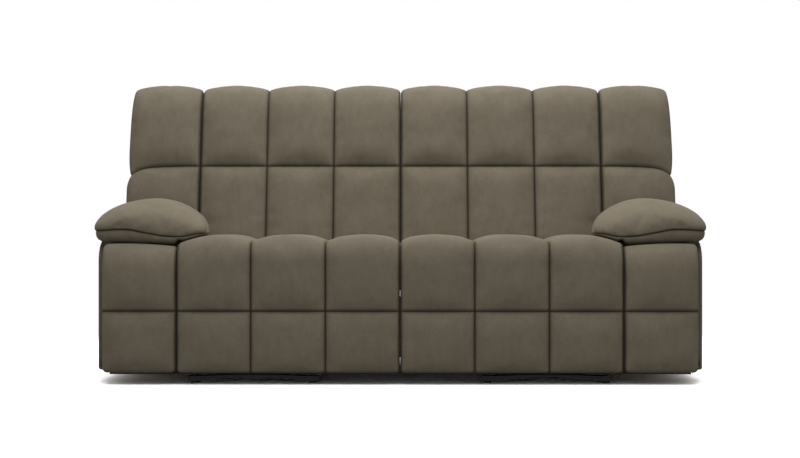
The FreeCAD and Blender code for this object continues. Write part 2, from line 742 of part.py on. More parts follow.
def arm_pad():
    sections = []
    for y in stations(arm_pad_front_y, arm_pad_rear_y):
        inset = drawn_in(y, arm_pad_front_y, arm_pad_rear_y, 34.0, 22.0, arm_pad_fullness)
        lift = drawn_in(y, arm_pad_front_y, arm_pad_rear_y, 28.0, 0.0, arm_pad_fullness)
        sections.append(arm_pad_section(y, inset, lift))
    return loft(sections)


# Release lever

def lever_cup():
    # moulded cup let into the padding, with a flange outside it
    y0 = lever_y - cup_length / 2
    y1 = lever_y + cup_length / 2
    z0 = lever_z - cup_height / 2
    z1 = lever_z + cup_height / 2
    outer = block(arm_outer_x - cup_depth, arm_outer_x, y0, y1, z0, z1)
    flange = block(arm_outer_x, arm_outer_x + cup_wall, y0 - cup_flange, y1 + cup_flange,
                   z0 - cup_flange, z1 + cup_flange)
    hollow = block(arm_outer_x - cup_depth + cup_wall, arm_outer_x + cup_wall, y0 + cup_wall, y1 - cup_wall,
                   z0 + cup_wall, z1 - cup_wall)
    cup = join([outer, flange]).cut(hollow)
    pin_x, pin_y = lever_pin_place()
    return cup.cut(Part.makeCylinder(lever_pin_radius + running_clearance, cup_height, vec(pin_x, pin_y, z0)))


def lever_pin_place():
    return arm_outer_x - lever_thickness, lever_y - lever_length / 2 + 6.0


def release_lever():
    # a paddle that swings out about an upright pin at its front end
    pin_x, pin_y = lever_pin_place()
    paddle = block(arm_outer_x - lever_thickness, arm_outer_x, pin_y, lever_y + lever_length / 2,
                   lever_z - lever_height / 2, lever_z + lever_height / 2)
    knuckle = Part.makeCylinder(lever_thickness, lever_height, vec(pin_x, pin_y, lever_z - lever_height / 2))
    pin = Part.makeCylinder(lever_pin_radius, cup_height, vec(pin_x, pin_y, lever_z - cup_height / 2))
    return join([paddle, knuckle, pin])


# Base

def cross_tube(y):
    # square tube across the whole sofa; the arms stand on its ends
    half = tube_width / 2
    top = tube_bottom_z + tube_size
    tube = block(-tube_end_x, tube_end_x, y - half, y + half, tube_bottom_z, top)
    bore = block(-tube_end_x, tube_end_x, y - half + tube_wall, y + half - tube_wall,
                 tube_bottom_z + tube_wall, top - tube_wall)
    return tube.cut(bore)


def track():
    # channel with lips that hold the runner down
    x0 = track_centre_x - track_width / 2
    x1 = track_centre_x + track_width / 2
    outer = block(x0, x1, track_front_y, track_rear_y, track_bottom_z, track_top_z)
    hollow = block(x0 + track_wall, x1 - track_wall, track_front_y - 1.0, track_rear_y + 1.0,
                   track_bottom_z + track_wall, track_top_z - track_wall)
    slot = block(track_centre_x - track_slot / 2, track_centre_x + track_slot / 2, track_front_y - 1.0,
                 track_rear_y + 1.0, track_top_z - 2 * track_wall, track_top_z + 1.0)
    return outer.cut(hollow).cut(slot)


def base_tracks():
    return both_sides(track())


def foot_bar():
    # black bar: level at both ends, where the glides screw in, and arched between
    half = foot_bar_length / 2
    ends = (-half, end_bar_length - half, 0.0, half - end_bar_length, half)
    low = [glide_height, glide_height, glide_height + foot_rise, glide_height, glide_height]
    end_top = glide_height + foot_end_height
    high = [end_top, end_top, foot_bar_top_z, end_top, end_top]
    lower = [vec(foot_centre_x + x, 0, z) for x, z in zip(ends, low)]
    upper = [vec(foot_centre_x + x, 0, z) for x, z in zip(ends, high)]
    edges = []
    for row in (lower, upper[::-1]):
        edges += [Part.makeLine(row[0], row[1]), arc_edge(row[1], row[2], row[3]), Part.makeLine(row[3], row[4])]
    edges.insert(3, Part.makeLine(lower[4], upper[4]))
    edges.append(Part.makeLine(upper[0], lower[0]))
    bar = Part.Face(Part.Wire(edges)).extrude(vec(0, foot_bar_width, 0))
    for x in glide_places():
        hole = Part.makeCylinder(glide_stud_radius, foot_bar_top_z, vec(x, foot_bar_width / 2, 0))
        bar = bar.cut(hole)
    return bar


def glide_places():
    return foot_centre_x - glide_spacing / 2, foot_centre_x + glide_spacing / 2


def placed(shape, x, y, z):
    moved = shape.copy()
    moved.translate(vec(x, y, z))
    return moved


def left_and_right(shape):
    return Part.makeCompound([shape, shape.mirror(vec(0, 0, 0), vec(1, 0, 0))])


def front_bar_y():
    return front_tube_y - tube_width / 2 - foot_bar_forward


def front_arches():
    return left_and_right(placed(foot_bar(), 0, front_bar_y(), 0))


def rear_feet():
    return left_and_right(placed(foot_bar(), 0, rear_tube_y - foot_bar_width / 2, 0))


def glide(x, y):
    # moulded foot on a stud through the bar, with its nut under the cross tube
    foot = Part.makeCylinder(glide_radius, glide_height, vec(x, y, 0))
    stud = Part.makeCylinder(glide_stud_radius, foot_bar_top_z, vec(x, y, 0))
    nut_z = glide_height + foot_end_height
    corners = [vec(x + glide_nut_radius * math.cos(math.radians(60 * i)),
                   y + glide_nut_radius * math.sin(math.radians(60 * i)), nut_z) for i in range(7)]
    nut = Part.Face(Part.makePolygon(corners)).extrude(vec(0, 0, foot_bar_top_z - nut_z))
    return join([foot, stud, nut])


def glide_feet():
    lines = (front_bar_y() + foot_bar_width / 2, rear_tube_y)
    return left_and_right(Part.makeCompound([glide(x, y) for y in lines for x in glide_places()]))


def rear_rail():
    return block(-arm_inner_x, arm_inner_x, arm_rear_y - rear_rail_thickness, arm_rear_y,
                 fabric_bottom_z + 3.0, rear_rail_top_z)


def rear_valance():
    # the covered panel across the bottom of the back, between the arms
    return block(-arm_inner_x, arm_inner_x, arm_rear_y, arm_rear_y + valance_thickness,
                 fabric_bottom_z, valance_top_z)


# Every node, as it is exported

middle_nodes = {
    "base_cross_tubes": lambda: Part.makeCompound([cross_tube(front_tube_y), cross_tube(rear_tube_y)]),
    "base_tracks": lambda: left_and_right(base_tracks()),
    "front_arches": front_arches,
    "rear_feet": rear_feet,
    "glide_feet": glide_feet,
    "rear_rail": rear_rail,
    "rear_valance": rear_valance,
}

handed_nodes = {
    "arm_frame": arm_frame,
    "arm_inner_panel": arm_inner_panel,
    "arm_outer_panel": arm_outer_panel,
    "arm_front_panel": arm_front_panel,
    "arm_rear_strip": arm_rear_strip,
    "arm_pad": arm_pad,
    "lever_cup": lever_cup,
    "release_lever": release_lever,
    "seat_frame": seat_frame,
    "seat_webbing": seat_webbing,
    "seat_side_plates": seat_side_plates,
    "seat_runners": seat_runners,
    "footrest_hinge_arms": footrest_hinge_arms,
    "seat_cushion": seat_cushion,
    "footrest_pad": footrest_pad,
    "footrest_board": footrest_board,
    "footrest_hinge_rod": hinge_rod,
    "footrest_brackets": footrest_brackets,
    "crank_arms": crank_arms,
    "coupler_links": coupler_links,
    "back_frame": back_frame,
    "back_webbing": back_webbing,
    "lumbar_cushion": lumbar_cushion,
    "head_cushion": head_cushion,
    "outside_back": outside_back,
    "back_brackets": back_brackets,
}


def export_all():
    os.makedirs("parts", exist_ok=True)
    for name, make in middle_nodes.items():
        make().exportStep("parts/" + name + ".step")
    for name, make in handed_nodes.items():
        right = make()
        right.exportStep("parts/" + name + "_right.step")
        right.mirror(vec(0, 0, 0), vec(1, 0, 0)).exportStep("parts/" + name + "_left.step")


export_all()
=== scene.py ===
import json
import math
import bpy
import numpy as np
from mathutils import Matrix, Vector
from mathutils.geometry import tessellate_polygon


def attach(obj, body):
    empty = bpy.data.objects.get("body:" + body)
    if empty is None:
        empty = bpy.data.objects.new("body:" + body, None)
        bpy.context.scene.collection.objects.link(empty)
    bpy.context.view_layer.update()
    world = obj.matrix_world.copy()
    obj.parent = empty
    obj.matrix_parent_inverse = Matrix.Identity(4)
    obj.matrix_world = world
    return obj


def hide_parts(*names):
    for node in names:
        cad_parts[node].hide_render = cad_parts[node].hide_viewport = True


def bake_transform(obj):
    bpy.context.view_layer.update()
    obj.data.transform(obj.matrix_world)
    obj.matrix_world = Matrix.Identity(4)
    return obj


# Reclining sofa in taupe microfibre suede: two chaise recliners between pillow arms.
# Lengths in the dictionaries are millimetres, in the frame's directions: X across, -Y to the front, Z up.

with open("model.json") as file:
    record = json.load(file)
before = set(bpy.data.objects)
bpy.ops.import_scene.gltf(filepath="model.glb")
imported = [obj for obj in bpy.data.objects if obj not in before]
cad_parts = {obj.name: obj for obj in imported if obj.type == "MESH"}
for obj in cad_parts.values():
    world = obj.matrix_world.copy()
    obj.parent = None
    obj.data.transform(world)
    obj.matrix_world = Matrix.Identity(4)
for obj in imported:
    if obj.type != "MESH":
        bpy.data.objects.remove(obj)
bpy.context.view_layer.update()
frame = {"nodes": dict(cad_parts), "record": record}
scene = bpy.context.scene
sides = {"right": 1, "left": -1}
print("frame loaded:", len(frame["nodes"]), "nodes")


# Materials

def toLinear(hexColour):
    # sRGB hex to the linear values that the shaders take
    parts = [int(hexColour[i:i + 2], 16) / 255 for i in (1, 3, 5)]
    return [c / 12.92 if c <= 0.04045 else ((c + 0.055) / 1.055) ** 2.4 for c in parts] + [1.0]


def addNode(tree, kind, settings=None, values=None, links=None):
    # one node, with its own settings, its socket values and what feeds its sockets
    node = tree.nodes.new(kind)
    for name, value in (settings or {}).items():
        setattr(node, name, value)
    for name, value in (values or {}).items():
        node.inputs[name].default_value = value
    for name, source in (links or {}).items():
        tree.links.new(source, node.inputs[name])
    return node


def newMaterial(name):
    material = bpy.data.materials.new(name)
    material.use_nodes = True
    tree = material.node_tree
    tree.nodes.clear()
    shader = addNode(tree, "ShaderNodeBsdfPrincipled")
    output = addNode(tree, "ShaderNodeOutputMaterial")
    tree.links.new(shader.outputs["BSDF"], output.inputs["Surface"])
    return material, tree, shader


def perMetre(millimetres):
    # a noise scale whose features are that many millimetres across
    return 1000.0 / millimetres


def bandScale(millimetres):
    # a wave texture's scale whose bands are that many millimetres apart
    return perMetre(millimetres) / 6.0


suede = {
    # the seam colour is laid along the seams: painted shade in their grooves, joins and under the welts,
    # together with the stitching's own dark thread
    "base": "#6d6556", "light": "#7b7364", "dark": "#5c5446", "seam": "#1a130a",
    "mottle": 85.0,       # soft patches, where the nap lies another way
    "brushed": 22.0,      # marks of the brushed nap
    "fibre": 2.2,         # fibre clumps, drawn coarser than the real 0.3 mm so that they show
    "patchShare": 0.55, "markShare": 0.45, "contrast": 0.3, "stitchAndShadePower": 1.15,
    "roughness": 0.92, "specular": 0.2, "sheen": 0.14, "sheenRoughness": 0.55, "sheenTint": "#cfc6b4",
}


def ramp(tree, source, low, high, lowColour, highColour):
    node = addNode(tree, "ShaderNodeValToRGB", links={"Fac": source})
    node.color_ramp.elements[0].position = low
    node.color_ramp.elements[1].position = high
    node.color_ramp.elements[0].color = lowColour
    node.color_ramp.elements[1].color = highColour
    return node


def makeSuede():
    # polyester microfibre suede, woven and then brushed: matt, softly mottled, paler where the nap is lit
    material, tree, shader = newMaterial("suede_fabric")
    place = addNode(tree, "ShaderNodeTexCoord")
    point = place.outputs["Object"]
    patches = addNode(tree, "ShaderNodeTexNoise", values={"Scale": perMetre(suede["mottle"]), "Detail": 3.0},
                      links={"Vector": point})
    stretch = addNode(tree, "ShaderNodeMapping", values={"Scale": (1.0, 1.0, 0.45)}, links={"Vector": point})
    marks = addNode(tree, "ShaderNodeTexNoise",
                    values={"Scale": perMetre(suede["brushed"]), "Detail": 4.0, "Roughness": 0.62},
                    links={"Vector": stretch.outputs[0]})
    fibre = addNode(tree, "ShaderNodeTexNoise",
                    values={"Scale": perMetre(suede["fibre"]), "Detail": 2.0, "Roughness": 0.7},
                    links={"Vector": point})
    tone = addNode(tree, "ShaderNodeMath", {"operation": "MULTIPLY_ADD"}, {1: suede["patchShare"]},
                   {0: patches.outputs["Fac"]})
    share = addNode(tree, "ShaderNodeMath", {"operation": "MULTIPLY"}, {1: suede["markShare"]},
                    {0: marks.outputs["Fac"]})
    tree.links.new(share.outputs[0], tone.inputs[2])
    cloth = ramp(tree, tone.outputs[0], 0.36, 0.64, toLinear(suede["dark"]), toLinear(suede["light"]))
    softened = addNode(tree, "ShaderNodeMix", {"data_type": "RGBA"}, {"Factor": suede["contrast"]},
                       {"B": cloth.outputs["Color"]})
    softened.inputs["A"].default_value = toLinear(suede["base"])
    grain = ramp(tree, fibre.outputs["Fac"], 0.3, 0.7, (0.8, 0.8, 0.8, 1), (1.16, 1.16, 1.16, 1))
    grained = addNode(tree, "ShaderNodeMix", {"data_type": "RGBA", "blend_type": "MULTIPLY"}, {"Factor": 1.0},
                      {"A": softened.outputs["Result"], "B": grain.outputs["Color"]})
    # the seam attribute mixes in the seam colour: painted shade in the seam grooves, joins and under the
    # welts, with the stitching's own dark thread
    stitchAndShadeMask = addNode(tree, "ShaderNodeAttribute", {"attribute_name": "seam"})
    shade = addNode(tree, "ShaderNodeMath", {"operation": "POWER", "use_clamp": True},
                    {1: suede["stitchAndShadePower"]}, {0: stitchAndShadeMask.outputs["Fac"]})
    stitchedAndShaded = addNode(tree, "ShaderNodeMix", {"data_type": "RGBA"},
                       links={"Factor": shade.outputs[0], "A": grained.outputs["Result"]})
    stitchedAndShaded.inputs["B"].default_value = toLinear(suede["seam"])
    tree.links.new(stitchedAndShaded.outputs["Result"], shader.inputs["Base Color"])
    height = addNode(tree, "ShaderNodeMath", {"operation": "MULTIPLY_ADD"}, {1: 0.5},
                     {0: fibre.outputs["Fac"], 2: marks.outputs["Fac"]})
    bump = addNode(tree, "ShaderNodeBump", values={"Strength": 0.35, "Distance": 0.0012},
                   links={"Height": height.outputs[0]})
    tree.links.new(bump.outputs["Normal"], shader.inputs["Normal"])
    shader.inputs["Roughness"].default_value = suede["roughness"]
    shader.inputs["Specular IOR Level"].default_value = suede["specular"]
    shader.inputs["Sheen Weight"].default_value = suede["sheen"]
    shader.inputs["Sheen Roughness"].default_value = suede["sheenRoughness"]
    shader.inputs["Sheen Tint"].default_value = toLinear(suede["sheenTint"])
    return material


hardFinishes = {
    # powder-coated mild steel: satin black, with the fine orange peel of the coat
    "black_steel": {"low": "#0c0c0d", "high": "#17171a", "size": 3.0,
                    "metallic": 0.0, "rough": 0.42, "bump": 0.0002},
    # zinc-plated steel, rolled and bright: grey metal with streaks along the rolling
    "zinc_steel": {"low": "#8f9498", "high": "#b9bdc0", "size": 9.0,
                   "metallic": 1.0, "rough": 0.34, "bump": 0.0001},
    # glides of moulded polypropylene, black, slightly scuffed
    "glide_plastic": {"low": "#101010", "high": "#1d1d1d", "size": 4.0,
                      "metallic": 0.0, "rough": 0.55, "bump": 0.0002},
    # lever and cup of moulded ABS with a spark-eroded texture
    "lever_plastic": {"low": "#191714", "high": "#26231f", "size": 1.4,
                      "metallic": 0.0, "rough": 0.5, "bump": 0.0002},
    # runners of natural nylon, milky and waxy
    "runner_nylon": {"low": "#cfc9b8", "high": "#e0dac9", "size": 12.0,
                     "metallic": 0.0, "rough": 0.38, "bump": 0.0001},
}


def makeHard(name, finish):
    material, tree, shader = newMaterial(name)
    point = addNode(tree, "ShaderNodeTexCoord").outputs["Object"]
    noise = addNode(tree, "ShaderNodeTexNoise", values={"Scale": perMetre(finish["size"]), "Detail": 4.0},
                    links={"Vector": point})
    colour = ramp(tree, noise.outputs["Fac"], 0.35, 0.7, toLinear(finish["low"]), toLinear(finish["high"]))
    tree.links.new(colour.outputs["Color"], shader.inputs["Base Color"])
    # rubbed smoother in places, and rougher in others
    worn = addNode(tree, "ShaderNodeMapRange",
                   values={"To Min": finish["rough"] - 0.06, "To Max": finish["rough"] + 0.1},
                   links={"Value": noise.outputs["Fac"]})
    tree.links.new(worn.outputs["Result"], shader.inputs["Roughness"])
    bump = addNode(tree, "ShaderNodeBump", values={"Strength": 0.4, "Distance": finish["bump"]},
                   links={"Height": noise.outputs["Fac"]})
    tree.links.new(bump.outputs["Normal"], shader.inputs["Normal"])
    shader.inputs["Metallic"].default_value = finish["metallic"]
    return material


woods = {
    # sawn pine, left rough: wide soft rings, dark lines 8 mm apart
    "timber": {"low": "#a87a4a", "high": "#d3ab78", "ring": 8.0, "rough": 0.75},
    # rotary-cut birch plywood, sanded: pale, with a faint wide figure
    "plywood": {"low": "#b8935f", "high": "#d8bb8c", "ring": 26.0, "rough": 0.62},
}


def makeWood(name, finish):
    material, tree, shader = newMaterial(name)
    point = addNode(tree, "ShaderNodeTexCoord").outputs["Object"]
    along = addNode(tree, "ShaderNodeMapping", values={"Scale": (0.12, 1.0, 1.0)}, links={"Vector": point})
    rings = addNode(tree, "ShaderNodeTexWave", {"wave_type": "BANDS", "bands_direction": "DIAGONAL"},
                    {"Scale": bandScale(finish["ring"]), "Distortion": 5.0, "Detail": 3.0,
                     "Detail Scale": 1.2}, {"Vector": along.outputs[0]})
    pores = addNode(tree, "ShaderNodeTexNoise", values={"Scale": perMetre(1.5), "Detail": 3.0},
                    links={"Vector": along.outputs[0]})
    tone = addNode(tree, "ShaderNodeMath", {"operation": "MULTIPLY_ADD"}, {1: 0.35},
                   {0: pores.outputs["Fac"], 2: rings.outputs["Fac"]})
    colour = ramp(tree, tone.outputs[0], 0.25, 1.1, toLinear(finish["high"]), toLinear(finish["low"]))
    tree.links.new(colour.outputs["Color"], shader.inputs["Base Color"])
    bump = addNode(tree, "ShaderNodeBump", values={"Strength": 0.4, "Distance": 0.0004},
                   links={"Height": tone.outputs[0]})
    tree.links.new(bump.outputs["Normal"], shader.inputs["Normal"])
    shader.inputs["Roughness"].default_value = finish["rough"]
    return material


def makeWebbing():
    # woven elastic belting, black with ribs 2.5 mm apart across its length
    material, tree, shader = newMaterial("webbing")
    point = addNode(tree, "ShaderNodeTexCoord").outputs["Object"]
    ribs = addNode(tree, "ShaderNodeTexWave", {"wave_type": "BANDS", "bands_direction": "X"},
                   {"Scale": bandScale(2.5), "Distortion": 0.4}, {"Vector": point})
    colour = ramp(tree, ribs.outputs["Fac"], 0.2, 0.9, toLinear("#17181b"), toLinear("#34363c"))
    tree.links.new(colour.outputs["Color"], shader.inputs["Base Color"])
    bump = addNode(tree, "ShaderNodeBump", values={"Strength": 0.6, "Distance": 0.0006},
                   links={"Height": ribs.outputs["Fac"]})
    tree.links.new(bump.outputs["Normal"], shader.inputs["Normal"])
    shader.inputs["Roughness"].default_value = 0.85
    return material


materials = {"suede_fabric": makeSuede(), "webbing": makeWebbing()}
materials.update({name: makeHard(name, finish) for name, finish in hardFinishes.items()})
materials.update({name: makeWood(name, finish) for name, finish in woods.items()})
for part in frame["record"]["subparts"]:
    mesh = frame["nodes"][part["node"]].data
    mesh.materials.clear()
    mesh.materials.append(materials[part["material_slot"]])
print("materials ready:", len(materials))


# Padded pieces: a face of columns and rows of biscuits, rounded edges, and walls back to a rim

def fall(distance, reach, power):
    # 1 further than reach from a seam, 0 on it, upright where it meets it
    near = 1 - np.clip(distance / reach, 0, 1)
    return (1 - near ** power) ** (1 / power)


wallShares = (1.0, 0.6, 0.3, 0.1)       # lines up a pad's wall, from its rim
roundingAngles = (0, 22, 45, 67, 90)    # lines over its rounded edge
heldRings = 6                           # the wall and the edge's start, which the filling leaves alone
# how far the seam darkness reaches: painted shade in an inner seam's groove, and in the join where an edge
# meets a neighbouring pad
seamShadeWidth = 5.5
joinShadeWidth = 7.0


def edgeRings(radius, corner):
    # lines of an edge, from the rim up the wall and over the rounding: inset, drop and share of the wall
    rings = [(0.0, radius, share) for share in wallShares]
    for angle in roundingAngles:
        turn = math.radians(angle)
        rings.append((radius * (1 - math.cos(turn)), radius * (1 - math.sin(turn)), 0.0))
    rings.append(((radius + corner) / 2, 0.0, 0.0))
    return rings


def axisLines(seams, cells, rings, corner):
    # every grid line across the face: its place, which edge it belongs to and its ring there
    lines = [(seams[0] + inset, -1, k) for k, (inset, drop, share) in enumerate(rings)]
    for index, (low, high) in enumerate(zip(seams, seams[1:])):
        first = low + corner if index == 0 else low
        last = high - corner if index == len(seams) - 2 else high
        count = cells[index]
        for k in range(count + 1):
            if k == 0 and index > 0:
                continue
            even = k / count
            eased = 0.5 - 0.5 * math.cos(math.pi * even)
            lines.append((first + (0.5 * even + 0.5 * eased) * (last - first), 0, len(rings)))
    lines += [(seams[-1] - inset, 1, k) for k, (inset, drop, share) in reversed(list(enumerate(rings)))]
    return lines


def cornerPlace(ringA, ringB, rings, corner):
    # insets of a point that lies on two edges' rings, round the corner in plan
    low = min(ringA, ringB)
    high = max(ringA, ringB)
    turn = math.radians(45) * (1 - (high - low) / (len(rings) - low))
    reach = corner - rings[low][0]
    near = corner - reach * math.cos(turn)
    far = corner - reach * math.sin(turn)
    return (near, far) if ringA <= ringB else (far, near)


def tuftedPad(spec):
    # returns the points in mm, the quads and the rim's loop, then each point's seam darkness, which is
    # painted shade in the seam grooves and where the pad meets a neighbour, laid over the stitching, and how
    # far the filling leaves it alone
    rings = edgeRings(spec["radius"], spec["corner"])
    across = axisLines(spec["columns"], spec["columnCells"], rings, spec["corner"])
    along = axisLines(spec["rows"], spec["rowCells"], rings, spec["corner"])
    columns = np.array(spec["columns"])
    rows = np.array(spec["rows"])
    points, seam, held = [], [], []
    for x, edgeX, ringX in across:
        for s, edgeS, ringS in along:
            px, ps = x, s
            ring = min(ringX, ringS)
            if edgeX and edgeS:
                insetX, insetS = cornerPlace(ringX, ringS, rings, spec["corner"])
                px = columns[0] + insetX if edgeX < 0 else columns[-1] - insetX
                ps = rows[0] + insetS if edgeS < 0 else rows[-1] - insetS
            drop, share = (rings[ring][1], rings[ring][2]) if ring < len(rings) else (0.0, 0.0)
            toColumn = float(np.min(np.abs(columns - px)))
            toRow = float(np.min(np.abs(rows - ps)))
            between = fall(toColumn, spec["columnReach"], spec["columnPower"](px, ps))
            full = float(between * fall(toRow, spec["rowReach"], spec["power"]))
            points.append(spec["place"](px, ps, full, drop, share))
            inner = np.concatenate([columns[1:-1] - px, rows[1:-1] - ps])
            nearest = float(np.min(np.abs(inner))) if len(inner) else 99.0
            beside = min([99.0] + [abs(columns[k] - px) for k in spec["joined"]])
            # painted shade: darker near an inner seam's groove and along an edge joined to a neighbouring
            # pad, with the stitching there
            dark = max(math.exp(-(nearest / seamShadeWidth) ** 2), math.exp(-(beside / joinShadeWidth) ** 2))
            seam.append(dark * (1 - share))
            held.append(1.0 if ring < heldRings or nearest < 0.01 else 1.0 - full)
    wide, long = len(across), len(along)
    quads = [(i * long + j, (i + 1) * long + j, (i + 1) * long + j + 1, i * long + j + 1)
             for i in range(wide - 1) for j in range(long - 1)]
    rim = [i * long for i in range(wide)] + [(wide - 1) * long + j for j in range(1, long)]
    rim += [i * long + long - 1 for i in range(wide - 2, -1, -1)] + [j for j in range(long - 2, 0, -1)]
    if spec["rowsDown"]:
        quads = [tuple(reversed(quad)) for quad in quads]
        rim = rim[::-1]
    return np.array(points), quads, rim, np.array(seam), np.array(held)


def meshObject(name, points, faces, seam=None, slot="suede_fabric"):
    # points in mm become a smooth-shaded piece in metres
    mesh = bpy.data.meshes.new(name)
    mesh.from_pydata([tuple(p) for p in np.asarray(points) * 0.001], [], faces)
    mesh.validate()
    mesh.polygons.foreach_set("use_smooth", [True] * len(mesh.polygons))
    # the seam attribute holds each point's seam darkness: painted shade in grooves, joins and under welts,
    # with the stitching's thread
    values = np.zeros(len(mesh.vertices), np.float32) if seam is None else np.asarray(seam, np.float32)
    mesh.attributes.new("seam", "FLOAT", "POINT").data.foreach_set("value", values)
    mesh.materials.append(materials[slot])
    mesh.update()
    piece = bpy.data.objects.new(name, mesh)
    scene.collection.objects.link(piece)
    return piece


def fill(points, faces, held, settings):
    # blows the cover up like a filled cushion, seams and edges held, and caps how far any point moves
    piece = meshObject("filling", points, faces)
    group = piece.vertex_groups.new(name="held")
    group.add([int(i) for i in np.nonzero(held > 0.999)[0]], 1.0, "REPLACE")
    cloth = piece.modifiers.new("filling", "CLOTH")
    cloth.settings.quality = 4
    cloth.settings.mass = 0.25
    cloth.settings.tension_stiffness = settings["stretch"]
    cloth.settings.compression_stiffness = settings["stretch"]
    cloth.settings.shear_stiffness = settings["shear"]
    cloth.settings.bending_stiffness = settings["bend"]
    cloth.settings.shrink_min = -settings["spare"]
    cloth.settings.vertex_group_mass = "held"
    cloth.settings.use_pressure = True
    cloth.settings.uniform_pressure_force = settings["pressure"]
    cloth.settings.effector_weights.gravity = 0.0
    cloth.collision_settings.use_collision = False
    for step in range(1, settings["frames"] + 1):
        scene.frame_set(step)
    evaluated = piece.evaluated_get(bpy.context.evaluated_depsgraph_get())
    moved = np.zeros(len(points) * 3)
    evaluated.data.vertices.foreach_get("co", moved)
    moved = (moved.reshape(-1, 3) * 1000.0 - points) * (1.0 - held)[:, None]
    bpy.data.objects.remove(piece)
    scene.frame_set(1)
    length = np.linalg.norm(moved, axis=1)
    cap = settings["cap"]
    eased = cap * np.tanh(length / cap)
    print("  filled: moved up to", round(float(length.max()), 1), "mm, mean", round(float(length.mean()), 2))
    return points + moved * np.where(length > 0, eased / np.maximum(length, 1e-9), 0)[:, None]


def mirrored(points, faces):
    return points * np.array([-1.0, 1.0, 1.0]), [tuple(reversed(face)) for face in faces]


def sided(side, points, faces):
    # the pieces are worked out on the right, and mirrored for the left
    return (points, faces) if side == "right" else mirrored(points, faces)


def thickened(piece, thickness):
    # gives a cover its cloth and wadding, inwards from the face
    shell = piece.modifiers.new("cloth", "SOLIDIFY")
    shell.thickness = thickness * 0.001
    shell.offset = -1.0
    shell.use_even_offset = False
    evaluated = piece.evaluated_get(bpy.context.evaluated_depsgraph_get())
    finished = bpy.data.meshes.new_from_object(evaluated)
    piece.modifiers.clear()
    old = piece.data
    piece.data = finished
    bpy.data.meshes.remove(old)
    finished.name = piece.name


# Chaise cover: one padded skin over the seat, the front roll and the footrest, as far as the outer seam

chaise = {
    "columns": [0.5, 255.0, 510.0, 764.0], "columnCells": [20, 20, 20],
    "seatRearY": 20.0, "crownZ": 512.5, "rollY": -445.0, "rollZ": 415.0, "rollPower": 2.05,
    "frontY": -505.0, "creaseZ": 255.0, "bottomZ": 44.0, "backY": -410.0, "seatUnderZ": 398.0,
    # the seam stays above the timber rail in front, and above the footrest's hinge rod
    "railTopZ": 485.0, "railFrontY": -385.0, "railMiddleY": -365.0, "railRise": 10.5, "railFlat": 32.0,
    "railEase": 45.0, "wallSlant": 0.35, "rollDip": 14.0, "rodX": (90.0, 670.0), "boardTopZ": 462.0,
    "seatDepth": 34.0, "rollDepth": 32.0, "frontDepth": 19.0, "seatPower": 2.0, "outerPower": 1.35,
    "radius": 9.0, "corner": 13.0,
    "columnReach": 124.0, "rowReach": 100.0, "power": 2.0,
    "seatOuterX": 753.6, "narrowFromY": -442.0, "narrowToY": -402.0, "cloth": 4.0,
}
wallTurnY = chaise["railFrontY"] - 4.0
rollFore = chaise["rollY"] - chaise["frontY"]
rollRise = chaise["crownZ"] - chaise["rollZ"]
rollLength = math.pi / 2 * (rollFore + rollRise) / 2
seatLength = chaise["seatRearY"] - chaise["rollY"]
creaseAt = seatLength + rollLength + chaise["rollZ"] - chaise["creaseZ"]
chaiseLength = seatLength + rollLength + chaise["rollZ"] - chaise["bottomZ"]


def chaiseProfile(s):
    # the crown line over the seat, the roll and the front, its outward direction, and where its wall ends
    if s < seatLength:
        y = chaise["seatRearY"] - s
        if y > wallTurnY:
            inner = (y, chaise["seatUnderZ"])
        else:
            inner = (y + chaise["wallSlant"] * (wallTurnY - y), chaise["railTopZ"])
        return (y, chaise["crownZ"]), (0.0, 1.0), inner
    if s < seatLength + rollLength:
        share = (s - seatLength) / rollLength
        turn = share * math.pi / 2
        shape = 2 / chaise["rollPower"]
        outer = (chaise["rollY"] - rollFore * math.sin(turn) ** shape,
                 chaise["rollZ"] + rollRise * math.cos(turn) ** shape)
        topInner = chaise["rollY"] + chaise["wallSlant"] * (wallTurnY - chaise["rollY"])
        inner = (topInner + share * (chaise["backY"] - topInner),
                 chaise["railTopZ"] + share * (chaise["boardTopZ"] - chaise["railTopZ"]))
        tilt = math.atan2(rollRise * math.sin(turn), rollFore * math.cos(turn))
        return outer, (-math.sin(tilt), math.cos(tilt)), inner
    z = chaise["rollZ"] - (s - seatLength - rollLength)
    return (chaise["frontY"], z), (-1.0, 0.0), (chaise["backY"], min(z, chaise["boardTopZ"]))


def chaisePlace(x, s, full, drop, share):
    (oy, oz), (ny, nz), (iy, iz) = chaiseProfile(min(max(s, 0.0), chaiseLength))
    onSeat = min(max((oy - chaise["narrowFromY"]) / (chaise["narrowToY"] - chaise["narrowFromY"]), 0.0), 1.0)
    around = min(max((s - seatLength) / rollLength, 0.0), 1.0)
    depth = chaise["rollDepth"] + (chaise["frontDepth"] - chaise["rollDepth"]) * around
    if chaise["rodX"][0] < x < chaise["rodX"][1]:
        depth -= chaise["rollDip"] * math.sin(math.pi * around)
    depth += (chaise["seatDepth"] - chaise["rollDepth"]) * onSeat
    pastRail = (abs(oy - chaise["railMiddleY"]) - chaise["railFlat"]) / chaise["railEase"]
    overRail = 1 - min(max(pastRail, 0.0), 1.0)
    if around == 0.0:
        depth -= chaise["railRise"] * overRail
    seam = chaise["columns"][2]
    if x > seam:
        narrowed = (chaise["seatOuterX"] - seam) / (chaise["columns"][-1] - seam)
        x = seam + (x - seam) * (1 + (narrowed - 1) * onSeat)
    wall = math.hypot(iy - oy, iz - oz)
    wy, wz = (iy - oy) / wall, (iz - oz) / wall
    back = drop + share * max(wall - chaise["radius"], 0.0)
    sunk = depth * (1 - full) * (1 - share)
    return (x, oy - ny * sunk + wy * back, oz - nz * sunk + wz * back)


